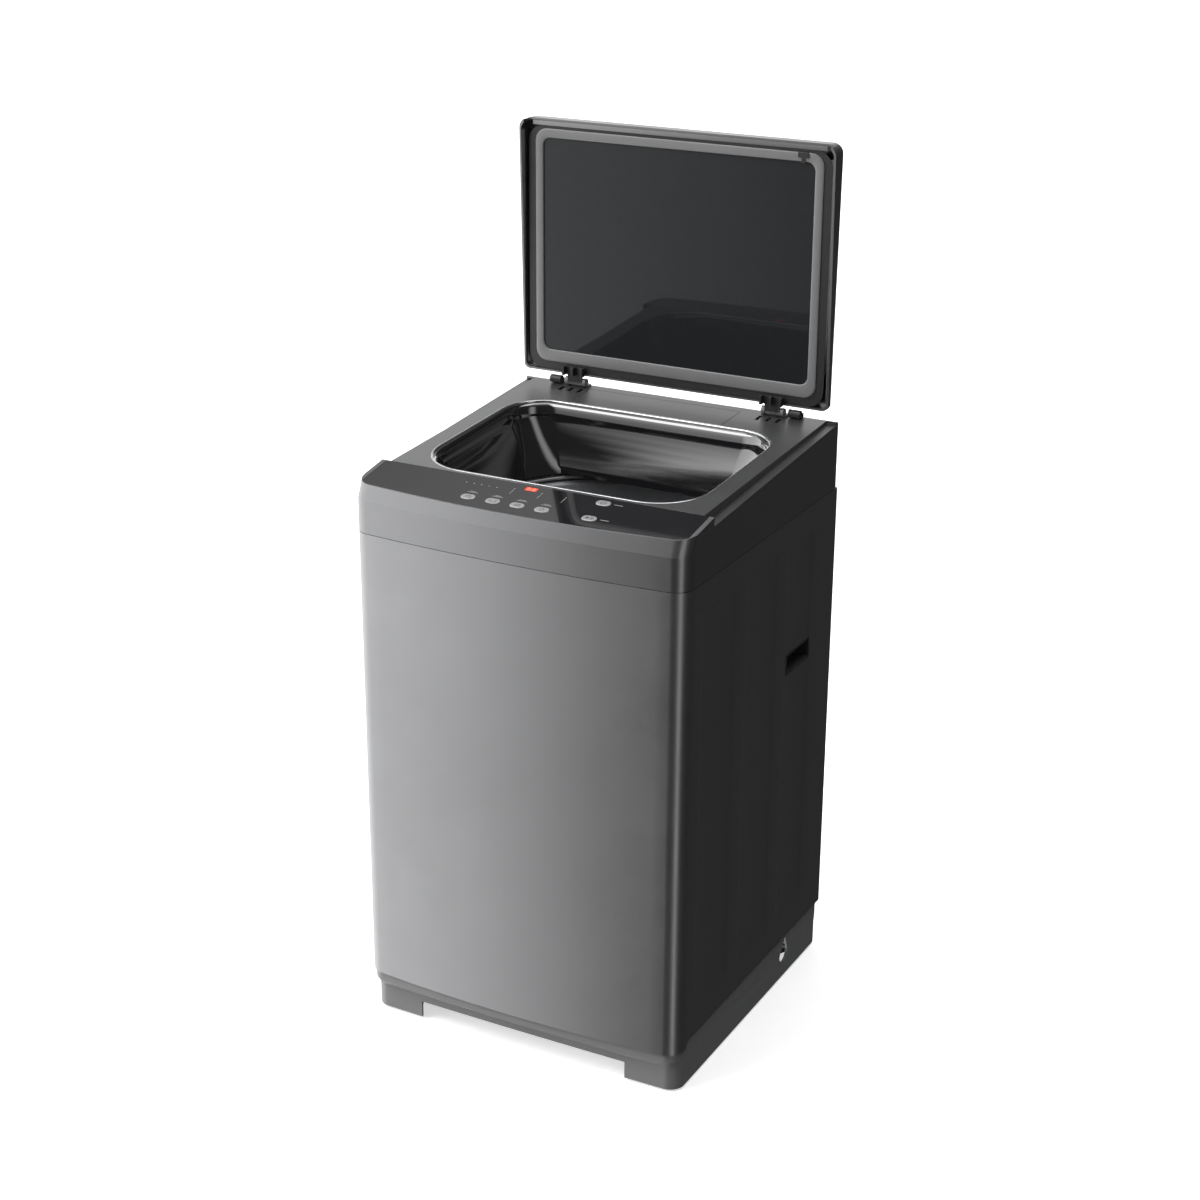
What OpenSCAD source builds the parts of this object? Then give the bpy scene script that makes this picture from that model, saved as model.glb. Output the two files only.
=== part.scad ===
// Top load washing machine with its lid open.
// Origin: floor level under the middle of the body. +X right, +Y rear, +Z up. Millimetres.

/* [Body] */
// Width of the cabinet
body_w = 560; // [540:1:600]
// Depth of the cabinet
body_d = 562; // [550:1:620]
// How far the front bows out at its middle
front_bow = 14; // [8:1:20]
// Radius of the two front vertical edges
edge_r = 28; // [24:1:32]
// Thickness of the steel sheet
sheet_t = 1.2; // [0.8:0.1:1.5]
// Height of the cabinet's lower edge at the front
sheet_foot_z = 72; // [66:1:76]
// Height of the cabinet's lower edge at the sides
side_foot_z = 83; // [78:1:90]
// Height of the joint between cabinet and top cover
cover_z = 829; // [826:1:832]

/* [Top cover] */
// Height of the step between the two bands of the cover's front
band_z = 880; // [870:1:888]
// Height of the control panel's front edge
panel_front_z = 902; // [898:1:905]
// Height of the control panel's rear edge
panel_rear_z = 918; // [914:1:920]
// Height of the deck at the hinges
deck_rear_z = 940; // [936:1:944]
// Wall of the top cover
cover_t = 3; // [2.5:0.1:3.5]
// Half width of the wash opening
open_hx = 235; // [225:1:238]
// Front edge of the wash opening
open_y0 = -175; // [-176:1:-165]
// Rear edge of the wash opening
open_y1 = 172; // [160:1:174]

/* [Lid] */
// Half width of the lid
lid_hx = 273; // [268:1:274]
// Distance of the lid's rear edge from the hinge axis
lid_l0 = 13; // [12:1:16]
// Distance of the lid's front edge from the hinge axis
lid_l1 = 428; // [424:1:428]
// Thickness of the tinted glass
glass_t = 4; // [3:0.5:4]

/* [Drum] */
// Outer radius of the outer tub
tub_r = 248; // [240:1:250]
// Outer radius of the basket
basket_r = 221.5; // [214:0.5:224]
// Radius of the pulsator
pulsator_r = 165; // [140:1:180]
// Inner radius of the balance ring
ring_r = 192; // [186:1:193]

/* [Drive] */
// Groove radius of the large pulley
big_pulley_r = 70; // [60:1:80]
// Groove radius of the motor pulley
small_pulley_r = 23; // [20:1:30]
// Distance of the motor behind the drum axis
motor_y = 150; // [140:1:155]

/* [Hidden] */
$fn = 96;
eps = 0.01;

dark = "#3b3d40";
paint = "#6f7174";
black = "#17181a";
grey = "#8a8c8f";
steel = "#b9bcc0";
rubber = "#262626";

half_w = body_w / 2;
half_d = body_d / 2;
rear_r = 10;
hinge_y = 250;
hinge_z = 948;
hinge_x = 178;
panel_y0 = -270;
panel_y1 = -180;
deck_y1 = 250;
panel_angle = atan((panel_rear_z - panel_front_z) / (panel_y1 - panel_y0));
deck_angle = atan((deck_rear_z - panel_rear_z) / (deck_y1 - panel_y1));
tub_z0 = 236;
tub_z1 = 779;
rod_xy = 222;
rod_z0 = 284;
lug_z = 330;
pulley_z = 116;
run_gap = 0.05;
band_lean = 9;
drum_t = 1;
ring_z0 = 740;
ring_z1 = 811;

// Height of the panel face and of the deck face above the floor at depth y
function panel_z(y) = panel_front_z + (y - panel_y0) * tan(panel_angle);
function deck_z(y) = panel_rear_z + (y - panel_y1) * tan(deck_angle);

// Points of an arc from angle a0 to a1
function arc(c, r, a0, a1, n) =
  [for (i = [0:n]) c + r * [cos(a0 + (a1 - a0) * i / n), sin(a0 + (a1 - a0) * i / n)]];

// Plan outline of the body, t inside the outer skin, its front set back by f and bowed by bow
function plan(t, f = 0, bow = front_bow) =
  let (R = (half_w * half_w + bow * bow) / (2 * bow),
       cy = -half_d + front_bow - bow + f + R,
       hx = half_w - edge_r,
       fy = cy - sqrt(pow(R - edge_r, 2) - hx * hx),
       a = atan2(fy - cy, hx),
       ry = half_d - rear_r)
  concat(arc([0, cy], R - t, -180 - a, a, 18),
         arc([hx, fy], edge_r - t, a, 0, 7),
         arc([half_w - rear_r, ry], rear_r - t, 0, 90, 3),
         arc([-half_w + rear_r, ry], rear_r - t, 90, 180, 3),
         arc([-hx, fy], edge_r - t, 180, 180 - a, 7));

// Rounded rectangle from y0 to y1 with front corner radius rf and rear corner radius rr
function rounded(hx, y0, y1, rf, rr, n = 8) =
  concat(arc([hx - rf, y0 + rf], rf, -90, 0, n), arc([hx - rr, y1 - rr], rr, 0, 90, n),
         arc([-hx + rr, y1 - rr], rr, 90, 180, n), arc([-hx + rf, y0 + rf], rf, 180, 270, n));

// Slice of the body outline between two heights
module slice(z0, z1, t = 0, f = 0, bow = front_bow) {
  translate([0, 0, z0]) linear_extrude(z1 - z0) polygon(plan(t, f, bow));
}

// Side profile, points (y, z), drawn across the width w
module across(points, w = 600) {
  rotate([90, 0, 90]) translate([0, 0, -w / 2]) linear_extrude(w) polygon(points);
}

// Box between two corners
module block(a, b) {
  translate(a) cube([b[0] - a[0], b[1] - a[1], b[2] - a[2]]);
}

// Ring between two radii and two heights
module ring(r1, r0, z0, z1) {
  translate([0, 0, z0]) difference() {
    cylinder(r = r1, h = z1 - z0);
    translate([0, 0, -1]) cylinder(r = r0, h = z1 - z0 + 2);
  }
}

module pole(r, z0, z1) {
  translate([0, 0, z0]) cylinder(r = r, h = z1 - z0);
}

// Both sides of the machine
module both_sides() {
  children();
  mirror([1, 0, 0]) children();
}

// All four corners
module four_corners() {
  both_sides() {
    children();
    mirror([0, 1, 0]) children();
  }
}

// ---------------------------------------------------------------- cabinet

panel_runs = [[-214, -99], [-59, 53], [93, 190]];
grip_y = [100, 190];
grip_z = [568, 603];

module cabinet_shell() {
  press = 1.4;
  color(paint) difference() {
    union() {
      difference() {
        slice(sheet_foot_z, cover_z);
        slice(sheet_foot_z - 1, cover_z + 1, sheet_t);
        // open back
        block([-half_w + sheet_t, half_d - 30, 0], [half_w - sheet_t, half_d + 1, 900]);
      }
      // straight rear ends of the side walls with their return flanges
      both_sides() {
        block([half_w - sheet_t, half_d - 13, side_foot_z], [half_w, half_d, cover_z]);
        block([half_w - 32, half_d - 13, side_foot_z], [half_w, half_d - 13 + sheet_t, cover_z]);
      }
      // pressed panels stand inside the wall
      both_sides() for (run = panel_runs)
        block([half_w - sheet_t - press, run[0], 120], [half_w - sheet_t + eps, run[1], 787]);
      // turned-in top edge
      difference() {
        slice(cover_z - sheet_t, cover_z, sheet_t - eps);
        slice(cover_z - 5, cover_z + 5, 14);
        block([-half_w, half_d - 30, 800], [half_w, half_d + 1, 900]);
      }
    }
    both_sides() {
      for (run = panel_runs)
        block([half_w - press, run[0] + 2, 122], [half_w + 1, run[1] - 2, 785]);
      block([half_w - 6, grip_y[0], grip_z[0]], [half_w + 1, grip_y[1], grip_z[1]]);
      block([half_w - 20, -235, 60], [half_w + 1, half_d + 1, side_foot_z]);
    }
  }
}

rear_y = half_d - 13 + sheet_t;
rear_screw_z = [110, 290, 470, 650, 800];

module rear_panel() {
  color(grey) difference() {
    union() {
      block([-half_w + 6, rear_y, 88], [half_w - 6, rear_y + 2, cover_z - 4]);
      for (x = [-150:75:150]) block([x - 12, rear_y + 2 - eps, 140], [x + 12, rear_y + 4, 760]);
    }
    both_sides() for (z = rear_screw_z)
      translate([half_w - 20, rear_y - 1, z]) rotate([-90, 0, 0]) cylinder(r = 2.2, h = 5);
    translate([-120, rear_y - 1, 110]) rotate([-90, 0, 0]) cylinder(r = 16.2, h = 8);
    translate([200, rear_y - 1, 220]) rotate([-90, 0, 0]) cylinder(r = 8, h = 8);
  }
}

module rear_panel_screws() {
  color(steel) both_sides() for (z = rear_screw_z) translate([half_w - 20, rear_y, z])
    rotate([-90, 0, 0]) {
      translate([0, 0, 2]) cylinder(r = 4.5, h = 2.4);
      translate([0, 0, eps]) cylinder(r = 2, h = 2.4);
    }
}

// ---------------------------------------------------------------- base

foot_xy = 226;
taper_z = 57;
lip_z = 43;
lip_back = 7;
lip_bow = 3;
notch_z = 32;
keyhole_at = [143, 46];

module leg_plate() {
  block([178, 180, 34], [half_w - 6, half_d - 12, 38]);
  translate([foot_xy, foot_xy, 0]) pole(13, 14, 46);
}

// Wall of the base, t inside the outer skin: bowed under the cabinet, straight at the legs
module base_body(t, z0) {
  slice(taper_z, sheet_foot_z, t);
  hull() {
    slice(taper_z, taper_z + eps, t);
    slice(lip_z, lip_z + eps, t + 1, lip_back, lip_bow);
  }
  slice(z0, lip_z + eps, t + 1, lip_back, lip_bow);
}

module base_frame() {
  color(dark) difference() {
    union() {
      difference() {
        union() {
          base_body(3, 4);
          // shoulder that carries the cabinet's side walls
          intersection() {
            slice(60, side_foot_z, 3);
            both_sides() block([half_w - 14, -230, 60], [half_w, half_d - 2, side_foot_z]);
          }
        }
        translate([0, 0, -eps]) base_body(6.5, 0);
        slice(sheet_foot_z - 1, 100, 6.5);
        // notches between the legs, front and rear
        block([-185, -half_d - 1, 0], [185, -half_d + 40, notch_z]);
        block([-185, half_d - 40, 0], [185, half_d + 1, notch_z]);
      }
      intersection() {
        four_corners() leg_plate();
        slice(0, 50, 6, lip_back, lip_bow);
      }
      // ring flange that ties the four walls together
      difference() {
        slice(59, 62, 5);
        pole(232, 50, 70);
      }
    }
    four_corners() translate([foot_xy, foot_xy, 0]) pole(5, 0, 50);
    // keyhole on each side
    both_sides() translate([half_w - 20, keyhole_at[0], 0]) rotate([90, 0, 90]) {
      translate([0, keyhole_at[1], 0]) cylinder(r = 15, h = 30);
      linear_extrude(30) polygon([[-14.6, keyhole_at[1] + 3.5], [14.6, keyhole_at[1] + 3.5],
        [4, 75], [-1, 75]]);
    }
  }
}

module foot() {
  pole(20, 0, 10);
  pole(9, 10 - eps, 13.9);
  pole(5 - run_gap, 13, 44);
}

module fixed_feet() {
  color(rubber) {
    translate([-foot_xy, -foot_xy, 0]) foot();
    translate([-foot_xy, foot_xy, 0]) foot();
    translate([foot_xy, foot_xy, 0]) foot();
  }
}

module levelling_foot() {
  color(rubber) translate([foot_xy, -foot_xy, 0]) foot();
}

// ---------------------------------------------------------------- top cover

cover_profile = concat([[-half_d, cover_z], [-half_d, panel_z(-half_d)]],
  [[panel_y1, panel_rear_z], [262, deck_z(262)]],
  arc([262, deck_z(262) - 19], 19, 85, 0, 6),
  [[half_d, cover_z]]);

// How far the upper band leans back at height z
function lean(z) = band_lean * (z - band_z) / (panel_front_z - band_z);

// Body outline that leans back above the step, t inside the outer skin
module leaning(z0, z1, t) {
  slice(z0, band_z + eps, t);
  hull() {
    slice(band_z, band_z + eps, t);
    slice(z1 - eps, z1, t, lean(z1));
  }
}

module cover_outer() {
  intersection() {
    leaning(cover_z, 950, 0);
    across(cover_profile);
  }
}

module cover_inner() {
  drop = 5;
  intersection() {
    leaning(cover_z - 1, 950, cover_t);
    across([[-half_d, cover_z - 1], [-half_d, panel_z(-half_d) - drop],
      [panel_y1 - 1, panel_rear_z - drop], [panel_y1 + 0.5, deck_z(panel_y1) - cover_t],
      [262, deck_z(262) - cover_t], [half_d - 3, 920], [half_d - 3, cover_z - 1]]);
  }
}

// Ledges that take the lid's side skirts
module skirt_ledges() {
  both_sides() translate([half_w - 16, 0, 0]) rotate([90, 0, 90]) linear_extrude(30)
    polygon([[-181, 904], [262, 935], [262, 960], [-181, 960]]);
}

// Region of the control panel's face, from depth d0 to d1 below it
module panel_slab(inset, d0, d1) {
  y_a = -half_d - 5;
  intersection() {
    slice(880, 940, inset, band_lean);
    across([[y_a, panel_z(y_a) - d1], [panel_y1 - 1, panel_z(panel_y1 - 1) - d1],
      [panel_y1 - 1, panel_z(panel_y1 - 1) - d0], [y_a, panel_z(y_a) - d0]]);
    block([-half_w + 5 + inset, -half_d, 800], [half_w - 5 - inset, panel_y1 - 1, 960]);
  }
}

// Puts a thing on the panel's face at (x, y), with z along the face's normal
module on_panel(x, y) {
  translate([x, y, panel_z(y)]) rotate([panel_angle, 0, 0]) children();
}

// Oblong with round ends, w long and d deep
module oblong(w, d, h) {
  translate([-(w - d) / 2, -d / 2, 0]) cube([w - d, d, h]);
  both_sides() translate([(w - d) / 2, 0, 0]) cylinder(r = d / 2, h = h, $fn = 32);
}

button_w = 24;
button_d = 15;
small_button_y = -243;
delay_at = [-90, small_button_y];
wash_at = [-48, small_button_y];
level_at = [-7, small_button_y];
programme_at = [34, small_button_y];
start_at = [112, small_button_y];
power_at = [110, -196];
buttons_at = [delay_at, wash_at, level_at, programme_at, start_at, power_at];

module button_holes() {
  for (p = buttons_at) on_panel(p[0], p[1]) translate([0, 0, -12])
    oblong(button_w, button_d, 20);
}

inlet_pipe = [70, 886];

module top_cover() {
  color(paint) difference() {
    union() {
      difference() {
        cover_outer();
        cover_inner();
        translate([0, 0, 850]) linear_extrude(120)
          polygon(rounded(open_hx, open_y0, open_y1, 85, 70));
        // deck window under the inlet cover
        block([-151, 165, 900], [123, 246, 960]);
        skirt_ledges();
      }
      // floors of the two ledges
      intersection() {
        cover_outer();
        both_sides() translate([half_w - 19, 0, 0]) rotate([90, 0, 90]) linear_extrude(19)
          polygon([[-181, 901], [262, 932], [262, 935], [-181, 904]]);
      }
      both_sides() intersection() {
        cover_outer();
        translate([half_w - 19, 0, 0]) rotate([90, 0, 90]) linear_extrude(3)
          polygon([[-181, 901], [262, 932], [262, 960], [-181, 960]]);
      }
      // pocket around the water inlet
      translate([inlet_pipe[0], half_d - 1, inlet_pipe[1]]) rotate([90, 0, 0])
        cylinder(r = 25, h = 32);
    }
    panel_slab(2.5, -10, 2);
    button_holes();
    translate([inlet_pipe[0], half_d + 1, inlet_pipe[1]]) rotate([90, 0, 0])
      cylinder(r = 22, h = 32);
    translate([inlet_pipe[0], half_d + 1, inlet_pipe[1]]) rotate([90, 0, 0])
      cylinder(r = 15, h = 50);
    // slots that take the hinge ribs when the lid is down
    both_sides() for (s = [-17, 0, 17])
      block([hinge_x + s - 3, 221, 925], [hinge_x + s + 3, 242, 960]);
  }
}

display_at = [-12, -192];

module control_panel_glass() {
  color(black) difference() {
    panel_slab(2.7, 0.1, 2);
    button_holes();
    on_panel(display_at[0], display_at[1]) translate([-10, -5, -5]) cube([20, 10, 10]);
  }
}

module display_window() {
  color("#b03024") on_panel(display_at[0], display_at[1])
    translate([-9.9, -4.9, -1.95]) cube([19.8, 9.8, 1.8]);
}

module control_board() {
  color("#2f6b43") on_panel(20, -222) translate([0, 0, -13]) {
    translate([-160, -34, 0]) cube([320, 68, 1.6]);
    translate([-140, -24, -14]) cube([60, 40, 14]);
  }
  color("#2f6b43") for (p = buttons_at) on_panel(p[0], p[1])
    translate([-3, -3, -11.4 - eps]) cube([6, 6, 1.2]);
}

// Sprung key: cap above the glass, collar under the cover
module key(at, w, d) {
  on_panel(at[0], at[1]) {
    translate([0, 0, -7]) oblong(w - 0.6, d - 0.6, 7.8);
    translate([0, 0, -7]) oblong(w + 3, d + 3, 1.6);
  }
}

module power_button() { color(steel) key(power_at, button_w, button_d); }
module start_button() { color(steel) key(start_at, button_w, button_d); }
module programme_button() { color(steel) key(programme_at, button_w, button_d); }
module level_button() { color(steel) key(level_at, button_w, button_d); }
module wash_button() { color(steel) key(wash_at, button_w, button_d); }
module delay_button() { color(steel) key(delay_at, button_w, button_d); }

liner_z0 = 824;
liner_r = 202;

// Lofted plug between the wash opening and the round mouth of the tub
module liner_plug(grow, up, down) {
  hull() {
    translate([0, 0, panel_rear_z - cover_t - 0.2]) translate([0, panel_y1, 0])
      rotate([deck_angle, 0, 0]) translate([0, -panel_y1, up - 1])
      linear_extrude(1) polygon(rounded(open_hx + grow, open_y0 - grow, open_y1 + grow, 85, 70, 6));
    translate([0, 0, liner_z0 - down]) cylinder(r = liner_r + grow, h = 1, $fn = 64);
  }
}

module opening_liner() {
  color(black) difference() {
    liner_plug(2.5, 0, 0);
    liner_plug(-0.5, 1, 1);
    // gap that lets the rinse water in under the inlet cover
    block([-120, 150, 922], [90, 200, 960]);
  }
}

module inlet_cover() {
  color(paint) intersection() {
    across([[open_y1 + 1, deck_z(open_y1 + 1) - cover_t], [245.5, deck_z(245.5) - cover_t],
      [245.5, deck_z(245.5)], [open_y1 + 1, deck_z(open_y1 + 1)]]);
    block([-150.5, 165, 900], [122.5, 245.5, 960]);
  }
}

module inlet_box() {
  color(grey) difference() {
    union() {
      block([-140, 196, 902], [112, 242, 930]);
      block([-60, 180, 924], [40, 200, 929]);
    }
    block([-137, 199, 905], [109, 239, 931]);
    block([-57, 179, 926], [37, 201, 932]);
  }
}

module inlet_valve() {
  color("#d9dad6") difference() {
    union() {
      translate([inlet_pipe[0], half_d - 2, inlet_pipe[1]]) rotate([90, 0, 0]) {
        cylinder(r = 13.2, h = 34);
        translate([0, 0, 33]) cylinder(r = 15.5, h = 6);
      }
      block([inlet_pipe[0] - 16, 212, 866], [inlet_pipe[0] + 16, 242, 900]);
    }
    translate([inlet_pipe[0], half_d, inlet_pipe[1]]) rotate([90, 0, 0]) cylinder(r = 9, h = 30);
  }
}

module lid_switch() {
  color(black) {
    block([238, 196, 896], [258, 236, 920]);
  }
}

module pressure_sensor() {
  color(black) translate([-205, 245, 872]) {
    pole(22, 0, 24);
    pole(4, -14, 0.01);
  }
}

module grip() {
  difference() {
    block([half_w - 26, grip_y[0] + 0.2, grip_z[0] + 0.2],
      [half_w - 0.2, grip_y[1] - 0.2, grip_z[1] - 0.2]);
    block([half_w - 24, grip_y[0] + 3, grip_z[0] + 3], [half_w + 1, grip_y[1] - 3, grip_z[1] - 3]);
  }
}

module hand_grip_right() { color(black) grip(); }
module hand_grip_left() { color(black) mirror([1, 0, 0]) grip(); }

// ---------------------------------------------------------------- hinges and lid

hinge_barrel_r = 6;

module hinge_base(x) {
  translate([x, hinge_y, 0]) difference() {
    union() {
      translate([0, 0, deck_rear_z + 0.2]) rotate([deck_angle, 0, 0])
        block([-22, 1.4, 0], [22, 12, 3]);
      for (s = [-16.2, 16.2]) {
        translate([s - 3, 0, hinge_z]) rotate([0, 90, 0]) cylinder(r = 6.6, h = 6);
        block([s - 3, -1, deck_rear_z + 1], [s + 3, 6.6, hinge_z]);
      }
    }
    // room for the turning barrel
    translate([-12.9, 0, hinge_z]) rotate([0, 90, 0]) cylinder(r = hinge_barrel_r + 0.3, h = 25.8);
    translate([-30, 0, hinge_z]) rotate([0, 90, 0]) cylinder(r = 3.02, h = 60, $fn = 48);
  }
}

module hinge_base_left() { color(grey) hinge_base(-hinge_x); }
module hinge_base_right() { color(grey) hinge_base(hinge_x); }

module hinge_pins() {
  color(steel) both_sides() translate([hinge_x - 20, hinge_y, hinge_z]) rotate([0, 90, 0])
    cylinder(r = 3, h = 40, $fn = 48);
}

module lid_dampers() {
  color(black) both_sides() {
    translate([205, hinge_y, hinge_z]) rotate([0, 90, 0]) cylinder(r = 6.5, h = 20);
    block([205, hinge_y - 1, deck_rear_z + 1], [225, hinge_y + 12, hinge_z]);
  }
}

// Lid drawn lying: +Y' towards its front edge, height above the hinge axis upwards, then stood up
module stand_lid() {
  translate([0, hinge_y, hinge_z]) rotate([-90, 0, 0]) mirror([0, 1, 0]) children();
}

lid_in = -6.5;
lid_back_h = 3;
lid_front_h = 11.5;
window = [236, 50, 398];

// Wedge of the lid between side profile points, with rounded plan corners
module lid_wedge(inset, points) {
  intersection() {
    translate([0, 0, -40]) linear_extrude(80)
      polygon(rounded(lid_hx - inset, lid_l0 + inset, lid_l1 - inset, 10, 16, 5));
    across(points);
  }
}

module lid_shell() {
  wall = 3;
  deep = -18.5;
  color(paint) stand_lid() difference() {
    lid_wedge(0, [[0, lid_in], [30, lid_in], [430, deep], [430, lid_front_h], [0, lid_back_h]]);
    lid_wedge(wall, [[0, -40], [430, -40], [430, lid_front_h - wall], [0, lid_back_h - wall]]);
    translate([0, 0, -30]) linear_extrude(60)
      polygon(rounded(window[0] - 4, window[1] + 4, window[2] - 4, 12, 12, 5));
    // front edge of the lid ends level with its underside
    block([-lid_hx + 8, lid_l1 - 12, -40], [lid_hx - 8, lid_l1 + 5, lid_in]);
    // notches over the hinge barrels
    both_sides() block([hinge_x - 13, lid_l0 - 1, lid_in - 2], [hinge_x + 13, lid_l0 + 3.1, -0.8]);
  }
}

module lid_frame() {
  color(grey) stand_lid() difference() {
    translate([0, 0, lid_in]) linear_extrude(3)
      polygon(rounded(lid_hx - 10, lid_l0 + 3.2, lid_l1 - 3.2, 12, 14, 5));
    translate([0, 0, lid_in - 1]) linear_extrude(9)
      polygon(rounded(window[0], window[1], window[2], 14, 14, 5));
  }
}

module lid_glass() {
  color("#22252899") stand_lid() translate([0, 0, lid_in + 3]) linear_extrude(glass_t)
    polygon(rounded(window[0] + 6, window[1] - 6, window[2] + 6, 18, 18, 5));
}

module lid_hinge(x) {
  stand_lid() translate([x, 0, 0]) difference() {
    union() {
      rotate([0, 90, 0]) translate([0, 0, -12.5]) cylinder(r = hinge_barrel_r, h = 25);
      block([-12.5, 0, -6], [12.5, 15.8, -1]);
      block([-12.5, 0, lid_in - 1.2], [12.5, 12 + eps, -5]);
      block([-19, 12, lid_in - 1.2], [19, 26, lid_in - 0.2]);
      for (s = [-17, 0, 17]) block([s - 2, 12, lid_in - 9], [s + 2, 26, lid_in - 0.2]);
    }
    translate([-30, 0, 0]) rotate([0, 90, 0]) cylinder(r = 3 + run_gap, h = 60, $fn = 48);
  }
}

module lid_hinge_left() { color(grey) lid_hinge(-hinge_x); }
module lid_hinge_right() { color(grey) lid_hinge(hinge_x); }

module lid_clip() {
  color(black) stand_lid() {
    block([207, 404, lid_in - 1.2], [225, 412, lid_in - 0.1]);
    block([213, 396, lid_in - 1], [219, 405, lid_in - 0.1]);
  }
}

// ---------------------------------------------------------------- tub and suspension

module suspension_brackets() {
  color(steel) four_corners() difference() {
    union() {
      block([198, 198, 790], [half_w - sheet_t - 2, 238, 793]);
      block([half_w - sheet_t - 3.2, 218, 770], [half_w - sheet_t - 0.2, 238, 793]);
    }
    translate([rod_xy, rod_xy, 0]) pole(6, 780, 800);
  }
}

module suspension_rods() {
  color(steel) four_corners() translate([rod_xy, rod_xy, 0]) {
    pole(4, rod_z0 - 8, 800);
    pole(10, 793, 800);
    pole(14, rod_z0 - 4, rod_z0);
  }
}

spring_turns = 5;
spring_steps = 12;
spring_r = 10;
wire_r = 1.7;
spring_h = lug_z - rod_z0 - 0.6;

// Closed coil swept along a helix, with a six-sided wire
module coil() {
  rings = spring_turns * spring_steps;
  sides = 6;
  points = [for (i = [0:rings]) for (j = [0:sides - 1])
    let (a = 360 * i / spring_steps, b = 360 * j / sides, rr = spring_r + wire_r * cos(b))
    [rr * cos(a), rr * sin(a), wire_r + (spring_h - 2 * wire_r) * i / rings + wire_r * sin(b)]];
  faces = concat([[for (j = [0:sides - 1]) j]],
    [for (i = [0:rings - 1]) for (j = [0:sides - 1]) let (k = (j + 1) % sides)
      [i * sides + j, (i + 1) * sides + j, (i + 1) * sides + k]],
    [for (i = [0:rings - 1]) for (j = [0:sides - 1]) let (k = (j + 1) % sides)
      [i * sides + j, (i + 1) * sides + k, i * sides + k]],
    [[for (j = [sides - 1:-1:0]) rings * sides + j]]);
  polyhedron(points, faces);
}

module suspension_springs() {
  color(steel) four_corners() translate([rod_xy, rod_xy, rod_z0 + 0.3]) coil();
}

module tub_lug() {
  rotate([0, 0, 45]) difference() {
    union() {
      block([tub_r - 3, -18, lug_z], [318, 18, lug_z + 12]);
      translate([rod_xy * sqrt(2), 0, 0]) pole(18, lug_z, lug_z + 12);
      block([tub_r - 3, -3, lug_z - 50], [tub_r + 36, 3, lug_z + 1]);
    }
    translate([rod_xy * sqrt(2), 0, 0]) pole(9, lug_z - 1, lug_z + 20);
  }
}

valve_at = [-130, 120];

module tub_wall() {
  color("#c9cbc8") {
    ring(tub_r, tub_r - 4, tub_z0 + 5.2, tub_z1);
    for (a = [0:90:270]) rotate([0, 0, a]) tub_lug();
    for (z = [300, 420, 540, 660]) ring(tub_r + 3, tub_r - 2, z, z + 4);
  }
}

module tub_floor() {
  color("#c9cbc8") difference() {
    union() {
      pole(tub_r, tub_z0, tub_z0 + 5);
      for (a = [22.5:45:360]) rotate([0, 0, a]) block([60, -1.5, 223], [tub_r - 6, 1.5, tub_z0 + 1]);
      pole(60, 222, tub_z0 + 1);
      translate([valve_at[0], valve_at[1], 0]) pole(24, 206, tub_z0 + 1);
    }
    pole(32, 200, tub_z0 + 10);
    translate([valve_at[0], valve_at[1], 0]) pole(20, 200, tub_z0 + 10);
  }
}

module tub_ring() {
  color(grey) {
    ring(tub_r + 5, tub_r + 0.2, tub_z1 - 14, tub_z1);
    ring(tub_r + 5, tub_r - 4, tub_z1, tub_z1 + 36);
    ring(tub_r + 5, 199, tub_z1 + 36, tub_z1 + 40);
  }
}

module mounting_plate() {
  color(steel) difference() {
    block([-95, -95, 219], [95, motor_y + 66, 221.8]);
    pole(34, 210, 230);
    translate([0, motor_y, 0]) pole(20, 210, 230);
  }
}

module clutch_housing() {
  color("#a7aaad") difference() {
    union() {
      pole(64, 132, 218.8);
      pole(30, 218, 240);
    }
    pole(8 + run_gap, 131, 150);
    pole(12 + run_gap, 160, 241);
  }
}

module spin_seal() {
  color(rubber) ring(31.8, 12 + run_gap, 241.2, 250);
}

module motor_housing() {
  color(steel) translate([0, motor_y, 0]) difference() {
    union() {
      pole(60, 142, 218.8);
      pole(24, 134, 143);
    }
    pole(6 + run_gap, 130, 200);
  }
}

module motor_rotor() {
  color("#8d9093") translate([0, motor_y, 0]) {
    pole(6, 100, 196);
    ring(small_pulley_r, 5.9, pulley_z - 8, pulley_z + 8);
    ring(small_pulley_r + 5, 5.9, pulley_z + 8, pulley_z + 11);
    ring(small_pulley_r + 5, 5.9, pulley_z - 11, pulley_z - 8);
  }
}

module drive_pulley() {
  color("#8d9093") {
    difference() {
      union() {
        pole(big_pulley_r, pulley_z - 8, pulley_z + 8);
        pole(big_pulley_r + 5, pulley_z + 8, pulley_z + 11);
        pole(big_pulley_r + 5, pulley_z - 11, pulley_z - 8);
      }
      for (a = [0:60:300]) rotate([0, 0, a]) translate([42, 0, 0]) pole(14, 90, 140);
    }
    pole(8, pulley_z, 148);
  }
}

// Belt loop at distance t outside both grooves
function belt_loop(t) =
  let (a = asin((big_pulley_r - small_pulley_r) / motor_y))
  concat(arc([0, motor_y], small_pulley_r + t, a, 180 - a, 18),
         arc([0, 0], big_pulley_r + t, 180 - a, 360 + a, 40));

module drive_belt() {
  color(rubber) translate([0, 0, pulley_z - 5]) linear_extrude(10) difference() {
    polygon(belt_loop(4.5));
    polygon(belt_loop(0.4));
  }
}

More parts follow.
